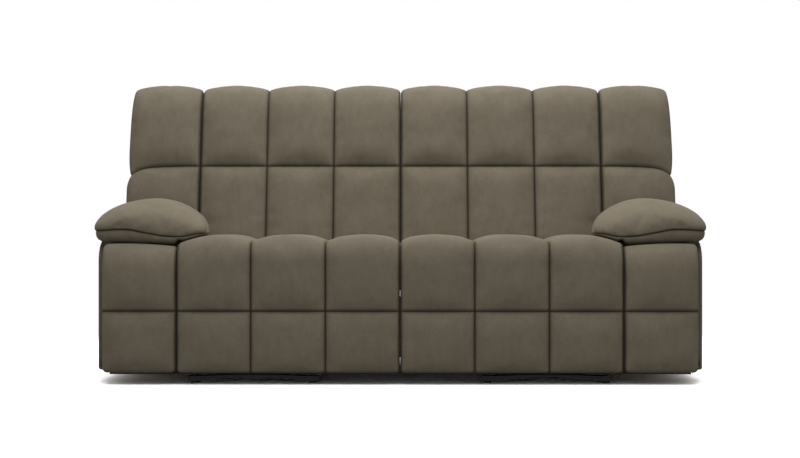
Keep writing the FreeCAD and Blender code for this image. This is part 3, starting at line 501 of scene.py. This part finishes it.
filling = {
    "stretch": 18.0, "shear": 6.0, "bend": 0.4, "spare": 0.012, "pressure": 3.0, "frames": 14, "cap": 7.0,
}
seatFilling = {**filling, "pressure": 1.5, "cap": 3.5}


def chaiseColumnPower(x, s):
    # rounder arches over the seat than down the front, and a long slope beside the arm
    down = min(max((s - seatLength) / (1.5 * rollLength), 0.0), 1.0)
    besideArm = x > (chaise["columns"][-1] + chaise["columns"][-2]) / 2
    top = chaise["outerPower"] if besideArm else chaise["seatPower"]
    return top + (chaise["power"] - top) * down


chaisePad = tuftedPad({
    "columns": chaise["columns"], "columnCells": chaise["columnCells"], "rows": [0.0, creaseAt, chaiseLength],
    "rowCells": [64, 20], "radius": chaise["radius"], "corner": chaise["corner"],
    "columnReach": chaise["columnReach"], "rowReach": chaise["rowReach"], "power": chaise["power"],
    "columnPower": chaiseColumnPower, "place": chaisePlace, "joined": [0, -1],
    "rowsDown": True})
chaisePoints, chaiseFaces, chaiseRim, chaiseStitchAndShade, chaiseHeld = chaisePad
print("chaise cover:", len(chaisePoints), "points")
chaisePoints = fill(chaisePoints, chaiseFaces, chaiseHeld, seatFilling)
for side, sign in sides.items():
    points, faces = sided(side, chaisePoints, chaiseFaces)
    cover = meshObject("chaise_cover_" + side, points, faces, chaiseStitchAndShade)
    thickened(cover, chaise["cloth"])
    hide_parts("seat_cushion_" + side, "footrest_pad_" + side)
    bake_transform(cover)


# Ear: the footrest's outer column, in front of the arm

ear = {
    "columns": [765.2, 1020.0], "topZ": 494.0, "roll": 32.0, "rollLength": 130.0, "rollPower": 2.6,
    "radius": 10.0, "corner": 19.0, "arch": 5.0, "archLength": 120.0, "depth": 19.0,
    "columnReach": 124.0, "rowReach": 100.0, "power": 2.0, "outerTop": 489.0, "innerTop": 480.0,
    "backY": -394.6,     # wraps round the end of the board
}
earLength = ear["topZ"] - chaise["bottomZ"]


def earPlace(x, s, full, drop, share):
    # s runs down from the top edge; the top rolls back towards the arm
    z = ear["topZ"] - s
    back = drop + share * (ear["backY"] - chaise["frontY"] - ear["radius"])
    rolled = ear["roll"] * max(0.0, 1 - s / ear["rollLength"]) ** ear["rollPower"] * (1 - share)
    middle = (x - ear["columns"][0]) / (ear["columns"][1] - ear["columns"][0])
    top = ear["innerTop"] + (ear["outerTop"] - ear["innerTop"]) * middle - ear["topZ"]
    rise = top - ear["arch"] * (2 * middle - 1) ** 2
    return (x, chaise["frontY"] + ear["depth"] * (1 - full) * (1 - share) + rolled + back,
            z + rise * max(0.0, 1 - s / ear["archLength"]))


earPad = tuftedPad({
    "columns": ear["columns"], "columnCells": [20], "rows": [0.0, ear["topZ"] - chaise["creaseZ"], earLength],
    "rowCells": [22, 20], "radius": ear["radius"], "corner": ear["corner"], "columnReach": ear["columnReach"],
    "rowReach": ear["rowReach"], "power": ear["power"], "columnPower": lambda x, s: ear["power"],
    "place": earPlace, "joined": [0], "rowsDown": True})
earPoints, earFaces, earRim, earStitchAndShade, earHeld = earPad
earPoints = fill(earPoints, earFaces, earHeld, seatFilling)
for side in sides:
    points, faces = sided(side, earPoints, earFaces + [tuple(reversed(earRim))])
    pad = meshObject("footrest_ear_" + side, points, faces, earStitchAndShade)
    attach(pad, "footrest_" + side)
print("ear pads done")


# Backs: three columns behind the seat, and the wing above the arm

back = {
    # u runs up the leaning back from its pivot, and v through it to the rear
    "lean": 12.0, "pivotY": 55.0, "pivotZ": 300.0, "seamV": -45.0, "crown": 23.0, "rimV": 147.5,
    "lowU": 130.0, "wingLowU": 285.0, "narrowU": 255.0, "creaseU": 477.0, "topU": 792.0,
    "topArch": 22.0, "rimRise": 6.0, "archPower": 1.6, "topDraw": 62.0, "rollPower": 2.6,
    "rollStartU": 640.0, "columns": [0.5, 255.0, 510.0, 764.3], "wingColumns": [765.7, 1041.0],
    "narrowX": 748.0, "radius": 10.0, "corner": 18.0, "columnReach": 124.0, "rowReach": 90.0, "power": 2.0,
    # the wing's outer side is drawn in at the crease, leans in above it, and the crease droops to its end
    "sideDraw": 14.0, "drawReach": 80.0, "lowerBulge": 4.0, "bulgeReach": 60.0, "sideLean": 4.0,
    "creaseDrop": 9.0, "creaseHook": 30.0, "creaseReach": 170.0,
}
leanSin = math.sin(math.radians(back["lean"]))
leanCos = math.cos(math.radians(back["lean"]))


def onBack(x, u, v):
    return (x, back["pivotY"] + u * leanSin + v * leanCos, back["pivotZ"] + u * leanCos - v * leanSin)


def backPlacer(columns, outerX):
    def place(x, u, full, drop, share):
        nearest = min(abs(c - x) for c in columns)
        arch = back["topArch"] * float(fall(nearest, back["columnReach"], back["archPower"]))
        rising = min(max((u - back["creaseU"]) / (back["topU"] - back["creaseU"]), 0.0), 1.0)
        raised = u + arch * rising ** 3 * (1 - share) + back["rimRise"] * rising ** 3 * share
        fromMiddle = min(max((u - back["rollStartU"]) / (back["topU"] - back["rollStartU"]), 0.0), 1.0)
        rolled = back["topDraw"] * (1 - (1 - fromMiddle ** back["rollPower"]) ** (1 / back["rollPower"]))
        face = back["seamV"] - back["crown"] * full + rolled
        v = face * (1 - share) + drop * (1 - share) + back["rimV"] * share
        if outerX is not None and x > columns[-2]:
            outward = (x - columns[-2]) / (columns[-1] - columns[-2])
            drawn = back["sideDraw"] * (1 - float(fall(abs(u - back["creaseU"]), back["drawReach"], 2.0)))
            above = max(0.0, (u - back["creaseU"]) / (back["topU"] - back["creaseU"]))
            drawn += back["sideLean"] * above + 2.0 * back["sideLean"] * above ** 4
            if u < back["creaseU"]:
                drawn -= back["lowerBulge"] * min(1.0, (back["creaseU"] - u) / back["bulgeReach"])
            x -= drawn * outward * (1 - share)
            near = max(0.0, 1 - abs(u - back["creaseU"]) / back["creaseReach"])
            droop = back["creaseDrop"] * outward ** 2 + back["creaseHook"] * outward ** 9
            raised -= droop * near ** 1.5 * (1 - share)
        if outerX is None and x > columns[-2]:
            # beside the arm's shoulder the cushion is a little narrower than above it
            narrow = min(max((back["wingLowU"] - u) / (back["wingLowU"] - back["narrowU"]), 0.0), 1.0)
            x -= narrow * (columns[-1] - back["narrowX"]) * (x - columns[-2]) / (columns[-1] - columns[-2])
        return onBack(x, raised, v)
    return place


backPads = {
    "back_cover": {
        "columns": back["columns"], "cells": [20, 20, 20], "rowCells": [28, 28],
        "rows": [back["lowU"], back["creaseU"], back["topU"]], "outerX": None,
        "replaces": ["lumbar_cushion", "head_cushion"],
    },
    "back_wing": {
        "columns": back["wingColumns"], "cells": [20], "rowCells": [18, 28],
        "rows": [back["wingLowU"], back["creaseU"], back["topU"]], "outerX": back["wingColumns"][-1],
        "replaces": [],
    },
}
for name, plan in backPads.items():
    columns = plan["columns"]
    placer = backPlacer(columns if len(columns) > 2 else [columns[0], *columns], plan["outerX"])
    made = tuftedPad({"columns": columns, "columnCells": plan["cells"], "rows": plan["rows"],
                      "rowCells": plan["rowCells"], "radius": back["radius"], "corner": back["corner"],
                      "columnReach": back["columnReach"], "rowReach": back["rowReach"],
                      "power": back["power"], "columnPower": lambda x, u: back["power"], "place": placer,
                      "joined": [0, -1] if plan["outerX"] is None else [0], "rowsDown": False})
    points, faces, rim, seam, held = made
    points = fill(points, faces, held, filling)
    for side in sides:
        sidePoints, sideFaces = sided(side, points, faces + [tuple(reversed(rim))])
        pad = meshObject(name + "_" + side, sidePoints, sideFaces, seam)
        if plan["replaces"]:
            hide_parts(*[node + "_" + side for node in plan["replaces"]])
        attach(pad, "back_" + side)
    print(name, "done:", len(points), "points")


# Upholstered panels: an outline with rounded corners, built up in layers of inset and depth

def roundedOutline(corners):
    # corners are (a, b, radius); returns the outline's points, anticlockwise as given
    points = []
    for k, (a, b, radius) in enumerate(corners):
        here = np.array([a, b], float)
        before = np.array(corners[k - 1][:2], float) - here
        after = np.array(corners[(k + 1) % len(corners)][:2], float) - here
        before /= np.linalg.norm(before)
        after /= np.linalg.norm(after)
        half = math.acos(float(np.clip(before @ after, -1, 1))) / 2
        if radius <= 0 or half > math.radians(87):
            points.append(here)
            continue
        middle = (before + after) / np.linalg.norm(before + after)
        centre = here + middle * radius / math.sin(half)
        start = here + before * radius / math.tan(half) - centre
        end = here + after * radius / math.tan(half) - centre
        steps = 6
        for j in range(steps + 1):
            mix = start * (1 - j / steps) + end * (j / steps)
            points.append(centre + mix / np.linalg.norm(mix) * radius)
    return np.array(points)


def subdivided(points, longest):
    # adds points along the long straight stretches
    out = []
    for k in range(len(points)):
        here, after = points[k], points[(k + 1) % len(points)]
        count = max(1, int(math.ceil(np.linalg.norm(after - here) / longest)))
        out += [here + (after - here) * j / count for j in range(count)]
    return np.array(out)


def insetOutline(points, inset):
    # moves each point inwards, for an outline given anticlockwise
    before = points - np.roll(points, 1, axis=0)
    after = np.roll(points, -1, axis=0) - points
    before /= np.linalg.norm(before, axis=1)[:, None]
    after /= np.linalg.norm(after, axis=1)[:, None]
    normal = np.stack([-(before[:, 1] + after[:, 1]), before[:, 0] + after[:, 0]], axis=1)
    length = np.linalg.norm(normal, axis=1)
    normal /= np.maximum(length, 1e-6)[:, None]
    stretch = 1.0 / np.clip(length / 2, 0.5, 1.0)
    return points + normal * (inset * stretch)[:, None]


def panelMesh(corners, layers, place, opening=None, longest=40.0):
    outline = subdivided(roundedOutline(corners), longest)
    count = len(outline)
    points, faces = [], []
    for inset, depth in layers:
        points += [place(a, b, depth) for a, b in insetOutline(outline, np.full(count, float(inset)))]
    for layer in range(len(layers) - 1):
        for k in range(count):
            a = layer * count + k
            b = layer * count + (k + 1) % count
            faces.append((a, b, b + count, a + count))
    last = (len(layers) - 1) * count
    hole = len(points)
    outwards = Vector(points[last]) - Vector(points[0])
    for depth in (layers[0][1], layers[-1][1]) if opening else ():
        points += [place(a, b, depth) for a, b in opening]
    for first, openingFirst, turned in ((0, hole, True), (last, hole + 4, False)):
        index = list(range(first, first + count))
        loops = [[Vector(points[k]) for k in index]]
        if opening:
            index += list(range(openingFirst, openingFirst + 4))
            loops.append([Vector(points[k]) for k in index[count:]])
        rim = sum(loops, [])
        for a, b, c in tessellate_polygon(loops):
            normal = (rim[b] - rim[a]).cross(rim[c] - rim[a])
            if (normal.dot(outwards) > 0) == turned:
                a, c = c, a
            faces.append((index[a], index[b], index[c]))
    if opening:
        faces += [(hole + k, hole + 4 + k, hole + 4 + (k + 1) % 4, hole + (k + 1) % 4) for k in range(4)]
    return np.array(points), faces


def addPanel(name, side, corners, layers, place, body, replaced, stitchAndShadeLayer=None, opening=None):
    points, faces = panelMesh(corners, layers, place, opening)
    count = len(points) // len(layers)
    seam = np.zeros(len(points))
    # one layer's ring is darkened along the edge seam: painted shade in its fold, with the stitching
    if stitchAndShadeLayer is not None:
        seam[stitchAndShadeLayer * count:(stitchAndShadeLayer + 1) * count] = 0.75
    if side is not None:
        points, faces = sided(side, points, faces)
    piece = meshObject(name, points, faces, seam)
    piece.data.polygons.foreach_set("use_smooth", [len(face.vertices) > 3 for face in piece.data.polygons])
    if replaced:
        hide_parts(*replaced)
    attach(piece, body)
    return piece


outsideBack = {
    "innerX": 0.5, "outerX": 1030.0, "lowU": 48.0, "wingU": 300.5, "topU": 798.4, "narrowX": 748.0,
    "frontV": 147.8, "rearV": 289.6,
}


def backOutside(side):
    o = outsideBack
    corners = [(o["innerX"], o["lowU"], 10), (o["narrowX"], o["lowU"], 12), (o["narrowX"], o["wingU"], 12),
               (o["outerX"], o["wingU"], 12), (o["outerX"], o["topU"], 5), (o["innerX"], o["topU"], 5)]
    depth = o["rearV"] - o["frontV"]
    layers = [(0, 0), (0, depth * 0.5), (0, depth - 5.0), (0.6, depth - 2.4), (1.8, depth - 0.8),
              (3.4, depth), (4.4, depth)]
    addPanel("back_outside_" + side, side, corners, layers, lambda a, b, d: onBack(a, b, o["frontV"] + d),
             "back_" + side, ["outside_back_" + side], stitchAndShadeLayer=4)


for side in sides:
    backOutside(side)
print("outside backs done")


# Arms: body cover, padded outer side with the lever's cup in it, and the pillow pad on top

arm = {
    "innerX": 758.3, "bodyOuterX": 1030.0, "outerX": 1052.0, "frontY": -390.0, "rearY": 367.5,
    "bottomZ": 55.8, "skirtZ": 44.5, "topZ": 497.8, "stepY": 36.0, "shoulderY": 43.5, "shoulderZ": 571.0,
    "tailZ": 347.0,
    "cupY": (-261.0, -139.0), "cupZ": (354.0, 406.0),
}


def armCorners(bottom, rounding, topRounding):
    return [(arm["frontY"], bottom, rounding), (arm["rearY"], bottom, rounding),
            (arm["rearY"], arm["tailZ"], 20), (arm["shoulderY"], arm["shoulderZ"], 9),
            (arm["stepY"], arm["topZ"], 0), (arm["frontY"], arm["topZ"], topRounding)]


def armCovers(side):
    width = arm["bodyOuterX"] - arm["innerX"]
    body = [(7.5, 0), (5.5, 0), (3, 0.8), (1, 3), (0, 7), (0, width * 0.5), (0, width)]
    addPanel("arm_cover_" + side, side, armCorners(arm["bottomZ"], 10, 9), body,
             lambda a, b, d: (arm["innerX"] + d, a, b), "root",
             [node + "_" + side for node in ("arm_inner_panel", "arm_front_panel", "arm_rear_strip")])
    thick = arm["outerX"] - arm["bodyOuterX"]
    outer = [(0, 0.3), (0, thick - 10), (1, thick - 5), (3, thick - 2), (6, thick - 0.5), (8.5, thick),
             (10, thick)]
    low, high = arm["cupZ"]
    near, far = arm["cupY"]
    cup = [(near, low), (far, low), (far, high), (near, high)]
    addPanel("arm_side_panel_" + side, side, armCorners(arm["skirtZ"], 14, 76), outer,
             lambda a, b, d: (arm["bodyOuterX"] + d, a, b), "root", ["arm_outer_panel_" + side],
             stitchAndShadeLayer=0, opening=cup)


for side in sides:
    armCovers(side)
print("arm covers done")

armPad = {
    "innerX": 664.0, "outerX": 1071.0, "frontY": -455.0, "rearY": 22.0, "topZ": 640.0, "rearTaper": 46.0,
    "weltIn": 7.0, "weltFade": 9.0, "bandIn": 20.0, "outerPower": 1.95, "innerPower": 1.8, "endPower": 2.1,
    "planPower": 7.0, "middlePower": 2.1, "cells": 56,
    # where the band drops from the arm's top to the ear in front of it
    "earRearY": -396.0, "earEaseY": 10.0, "earInnerX": 765.0, "earEaseX": 12.0,
    # heights across the arm, from the pad's inner end outwards: the welt, and the seat or arm under it
    "acrossX": [663.0, 700.0, 747.0, 765.0, 821.0, 889.0, 932.0, 968.0, 1045.0, 1063.0],
    "weltZ": [521.0, 518.0, 509.0, 508.0, 512.0, 525.0, 534.0, 535.0, 531.0, 529.0],
    "underZ": [517.0, 506.0, 493.0, 498.8, 498.8, 498.8, 498.8, 498.8, 498.8, 498.8], "overEar": 2.5,
    # small creases of the band: place across, and depth
    "puckers": [(1012.0, 2.0), (938.0, 5.0), (893.0, 3.5), (862.0, 3.0), (801.0, 2.0)], "puckerWidth": 6.0,
}


def pillowMesh():
    # a dome on a welt line, a low band under the welt, and a flat underside
    n = armPad["cells"]
    midX = (armPad["innerX"] + armPad["outerX"]) / 2
    halfX = (armPad["outerX"] - armPad["innerX"]) / 2
    midY = (armPad["frontY"] + armPad["rearY"]) / 2
    halfY = (armPad["rearY"] - armPad["frontY"]) / 2
    points, held, seam = [], [], []

    def addPoint(x, y, z, heldHere, stitchAndShadeHere):
        # the inner side runs out towards the arm at the rear
        behind = max(0.0, (y - armPad["frontY"]) / (armPad["rearY"] - armPad["frontY"]))
        inwards = max(0.0, (midX - x) / halfX)
        points.append((x + armPad["rearTaper"] * behind * inwards, y, z))
        held.append(heldHere)
        seam.append(stitchAndShadeHere)

    def weltHeight(x):
        return float(np.interp(x, armPad["acrossX"], armPad["weltZ"]))

    spread = [0.3 * math.sin(math.pi / 2 * (2 * k / n - 1)) + 0.7 * (2 * k / n - 1) for k in range(n + 1)]
    ring = {}
    for i, a in enumerate(spread):
        for j, b in enumerate(spread):
            m = max(abs(a), abs(b))
            power = armPad["middlePower"] + (armPad["planPower"] - armPad["middlePower"]) * m ** 2
            stretch = 0.0 if m < 1e-9 else (abs(a / m) ** power + abs(b / m) ** power) ** (-1 / power) / m
            da, db = a * stretch, b * stretch
            sideways = da * da / max(da * da + db * db, 1e-9)
            side = armPad["outerPower"] if da > 0 else armPad["innerPower"]
            power = side * sideways + armPad["endPower"] * (1 - sideways)
            angle = (1 - m) * math.pi / 2
            reach = math.cos(angle) ** (2 / power)
            height = math.sin(angle) ** (2 / power)
            x, y = midX + halfX * da * reach, midY + halfY * db * reach
            welt = weltHeight(x)
            z = welt + (armPad["topZ"] - welt) * height
            drawn = 1 - armPad["weltIn"] / halfX * math.exp(-(z - welt) / armPad["weltFade"])
            x, y = midX + (x - midX) * drawn, midY + (y - midY) * drawn
            if m > 0.999:
                ring[(i, j)] = (x, y)
            # the welt line is darkened: its piping's stitching, and painted shade where the dome overhangs it
            addPoint(x, y, z, m > 0.999, 0.85 if m > 0.999 else 0.0)
    wide = n + 1
    faces = [(i * wide + j, (i + 1) * wide + j, (i + 1) * wide + j + 1, i * wide + j + 1)
             for i in range(n) for j in range(n)]
    edge = [(i, 0) for i in range(wide)] + [(n, j) for j in range(1, wide)]
    edge += [(i, n) for i in range(n - 1, -1, -1)] + [(0, j) for j in range(n - 1, 0, -1)]
    loops = [[i * wide + j for i, j in edge]]
    # each band layer: inset, how far down the band, and its darkness, painted shade tucked under the welt
    layers = [(2.0, 0.04, 1.0), (1.0, 0.12, 0.3), (0.0, 0.3, 0.0), (2.0, 0.55, 0.0), (8.0, 0.8, 0.0),
              (armPad["bandIn"], 1.0, 0.0), (90.0, 1.0, 0.0)]
    for inset, down, dark in layers:
        first = len(points)
        for i, j in edge:
            x, y = ring[(i, j)]
            crease = sum(depth * math.exp(-((x - place) / armPad["puckerWidth"]) ** 2)
                         for place, depth in armPad["puckers"])
            length = math.hypot(x - midX, y - midY)
            back = 1 - (inset + crease * math.sin(math.pi * min(down, 0.99))) / length
            x, y = midX + (x - midX) * back, midY + (y - midY) * back
            welt = weltHeight(x)
            under = float(np.interp(x, armPad["acrossX"], armPad["underZ"]))
            beforeArm = min(max((armPad["earRearY"] - y) / armPad["earEaseY"], 0.0), 1.0)
            over = min(max((x - ear["columns"][0]) / (ear["columns"][1] - ear["columns"][0]), 0.0), 1.0)
            earTop = ear["innerTop"] + (ear["outerTop"] - ear["innerTop"]) * over + armPad["overEar"]
            beyondSeat = min(max((x - armPad["earInnerX"]) / armPad["earEaseX"], 0.0), 1.0)
            under += (min(earTop, under) - under) * beforeArm * beyondSeat
            addPoint(x, y, welt + (under - welt) * down, True, dark)
        loops.append(list(range(first, first + len(edge))))
    for upper, lower in zip(loops, loops[1:]):
        for k in range(len(edge)):
            after = (k + 1) % len(edge)
            faces.append((upper[after], upper[k], lower[k], lower[after]))
    faces.append(tuple(loops[-1]))
    return np.array(points), faces, np.array(held, float), np.array(seam)


pillowFilling = {
    "stretch": 14.0, "shear": 5.0, "bend": 0.5, "spare": 0.02, "pressure": 3.5, "frames": 16, "cap": 10.0,
}
pillowPoints, pillowFaces, pillowHeld, pillowStitchAndShade = pillowMesh()
pillowPoints = fill(pillowPoints, pillowFaces, pillowHeld, pillowFilling)
for side in sides:
    points, faces = sided(side, pillowPoints, pillowFaces)
    pillow = meshObject("arm_pillow_" + side, points, faces, pillowStitchAndShade)
    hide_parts("arm_pad_" + side)
    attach(pillow, "root")
print("arm pillows done:", len(pillowPoints), "points")


# Rear valance: the covered panel under the backs

valance = {"halfX": 757.0, "lowZ": 44.5, "topZ": 267.0, "frontY": 356.3, "thick": 11.5}
addPanel("rear_valance_cover", None,
         [(-valance["halfX"], valance["lowZ"], 4), (valance["halfX"], valance["lowZ"], 4),
          (valance["halfX"], valance["topZ"], 4), (-valance["halfX"], valance["topZ"], 4)],
         [(0, 0), (0, 6), (0.6, 9), (2, 10.8), (3.4, valance["thick"]), (3.8, valance["thick"])],
         lambda a, b, d: (-a, valance["frontY"] + d, b), "root", ["rear_valance"], stitchAndShadeLayer=2)


# Floor, light and camera

photo = {
    # the camera stands a little to the right, so that it doesn't look through the gap between the backs
    "width": 800, "focalPixels": 1470.0, "cameraX": 20.0, "cameraY": -5505.0, "cameraZ": 535.5,
    "frontY": -505.0,
}
lights = {
    "overhead": {"place": (0.0, -0.2, 3.4), "aim": (0.0, -0.3, 0.4), "size": 2.4, "watts": 86.0},
    "front": {"place": (0.0, -3.4, 3.6), "aim": (0.0, -0.3, 0.4), "size": 2.6, "watts": 80.0},
}
# metres; the paper keeps its shade up to litRadius; bounce is what it throws back, seen what the camera gets
floorPlan = {"half": 30.0, "litRadius": 1.6, "whiteRadius": 2.6, "bounce": 0.3, "seen": 3.0}
skyLevel = 0.36


def addLight(name, plan):
    data = bpy.data.lights.new(name, "AREA")
    data.shape = "SQUARE"
    data.size = plan["size"]
    data.energy = plan["watts"]
    lamp = bpy.data.objects.new(name, data)
    scene.collection.objects.link(lamp)
    direction = Vector(plan["aim"]) - Vector(plan["place"])
    lamp.location = plan["place"]
    lamp.rotation_euler = direction.to_track_quat("-Z", "Y").to_euler()


for name, plan in lights.items():
    addLight(name, plan)


def makeFloorPaper():
    # matt white paper that keeps the sofa's shadow near it, and is plain white further off
    material = bpy.data.materials.new("floor_paper")
    material.use_nodes = True
    tree = material.node_tree
    tree.nodes.clear()
    rays = addNode(tree, "ShaderNodeLightPath")
    tone = addNode(tree, "ShaderNodeMapRange",
                   values={"To Min": floorPlan["bounce"], "To Max": floorPlan["seen"]},
                   links={"Value": rays.outputs["Is Camera Ray"]})
    colour = addNode(tree, "ShaderNodeCombineColor",
                     links={channel: tone.outputs["Result"] for channel in ("Red", "Green", "Blue")})
    paper = addNode(tree, "ShaderNodeBsdfDiffuse", links={"Color": colour.outputs["Color"]})
    white = addNode(tree, "ShaderNodeEmission", values={"Color": (1, 1, 1, 1), "Strength": 1.0})
    place = addNode(tree, "ShaderNodeTexCoord")
    level = addNode(tree, "ShaderNodeVectorMath", {"operation": "LENGTH"}, links={0: place.outputs["Object"]})
    far = addNode(tree, "ShaderNodeMapRange", {"interpolation_type": "SMOOTHSTEP"},
                  {"From Min": floorPlan["litRadius"], "From Max": floorPlan["whiteRadius"]},
                  {"Value": level.outputs["Value"]})
    seenFar = addNode(tree, "ShaderNodeMath", {"operation": "MULTIPLY"},
                      links={0: far.outputs["Result"], 1: rays.outputs["Is Camera Ray"]})
    mixed = addNode(tree, "ShaderNodeMixShader",
                    links={0: seenFar.outputs[0], 1: paper.outputs[0], 2: white.outputs[0]})
    output = addNode(tree, "ShaderNodeOutputMaterial")
    tree.links.new(mixed.outputs[0], output.inputs["Surface"])
    return material


def addFloor():
    mesh = bpy.data.meshes.new("floor")
    half = floorPlan["half"]
    corners = [(-half, -half, 0), (half, -half, 0), (half, half, 0), (-half, half, 0)]
    mesh.from_pydata(corners, [], [(0, 1, 2, 3)])
    floor = bpy.data.objects.new("floor", mesh)
    scene.collection.objects.link(floor)
    mesh.materials.append(makeFloorPaper())


def addWorld():
    world = bpy.data.worlds.new("studio")
    scene.world = world
    world.use_nodes = True
    tree = world.node_tree
    tree.nodes.clear()
    rays = addNode(tree, "ShaderNodeLightPath")
    seen = addNode(tree, "ShaderNodeMath", {"operation": "MAXIMUM"},
                   links={0: rays.outputs["Is Camera Ray"], 1: rays.outputs["Is Glossy Ray"]})
    through = addNode(tree, "ShaderNodeMath", {"operation": "MAXIMUM"},
                      links={0: seen.outputs[0], 1: rays.outputs["Is Transmission Ray"]})
    lit = addNode(tree, "ShaderNodeBackground", values={"Color": (1, 1, 1, 1), "Strength": skyLevel})
    white = addNode(tree, "ShaderNodeBackground", values={"Color": (1, 1, 1, 1), "Strength": 1.0})
    mixed = addNode(tree, "ShaderNodeMixShader",
                    links={0: through.outputs[0], 1: lit.outputs[0], 2: white.outputs[0]})
    output = addNode(tree, "ShaderNodeOutputWorld")
    tree.links.new(mixed.outputs[0], output.inputs["Surface"])


addFloor()
addWorld()
lens = bpy.data.cameras.new("photo_view")
lens.sensor_width = 36.0
lens.lens = photo["focalPixels"] / photo["width"] * lens.sensor_width
camera = bpy.data.objects.new("photo_view", lens)
camera.location = (photo["cameraX"] * 0.001, photo["cameraY"] * 0.001, photo["cameraZ"] * 0.001)
camera.rotation_euler = (math.pi / 2, 0.0, math.atan(photo["cameraX"] / (photo["frontY"] - photo["cameraY"])))
scene.collection.objects.link(camera)
scene.camera = camera
scene.view_settings.view_transform = "Standard"

bpy.context.view_layer.update()
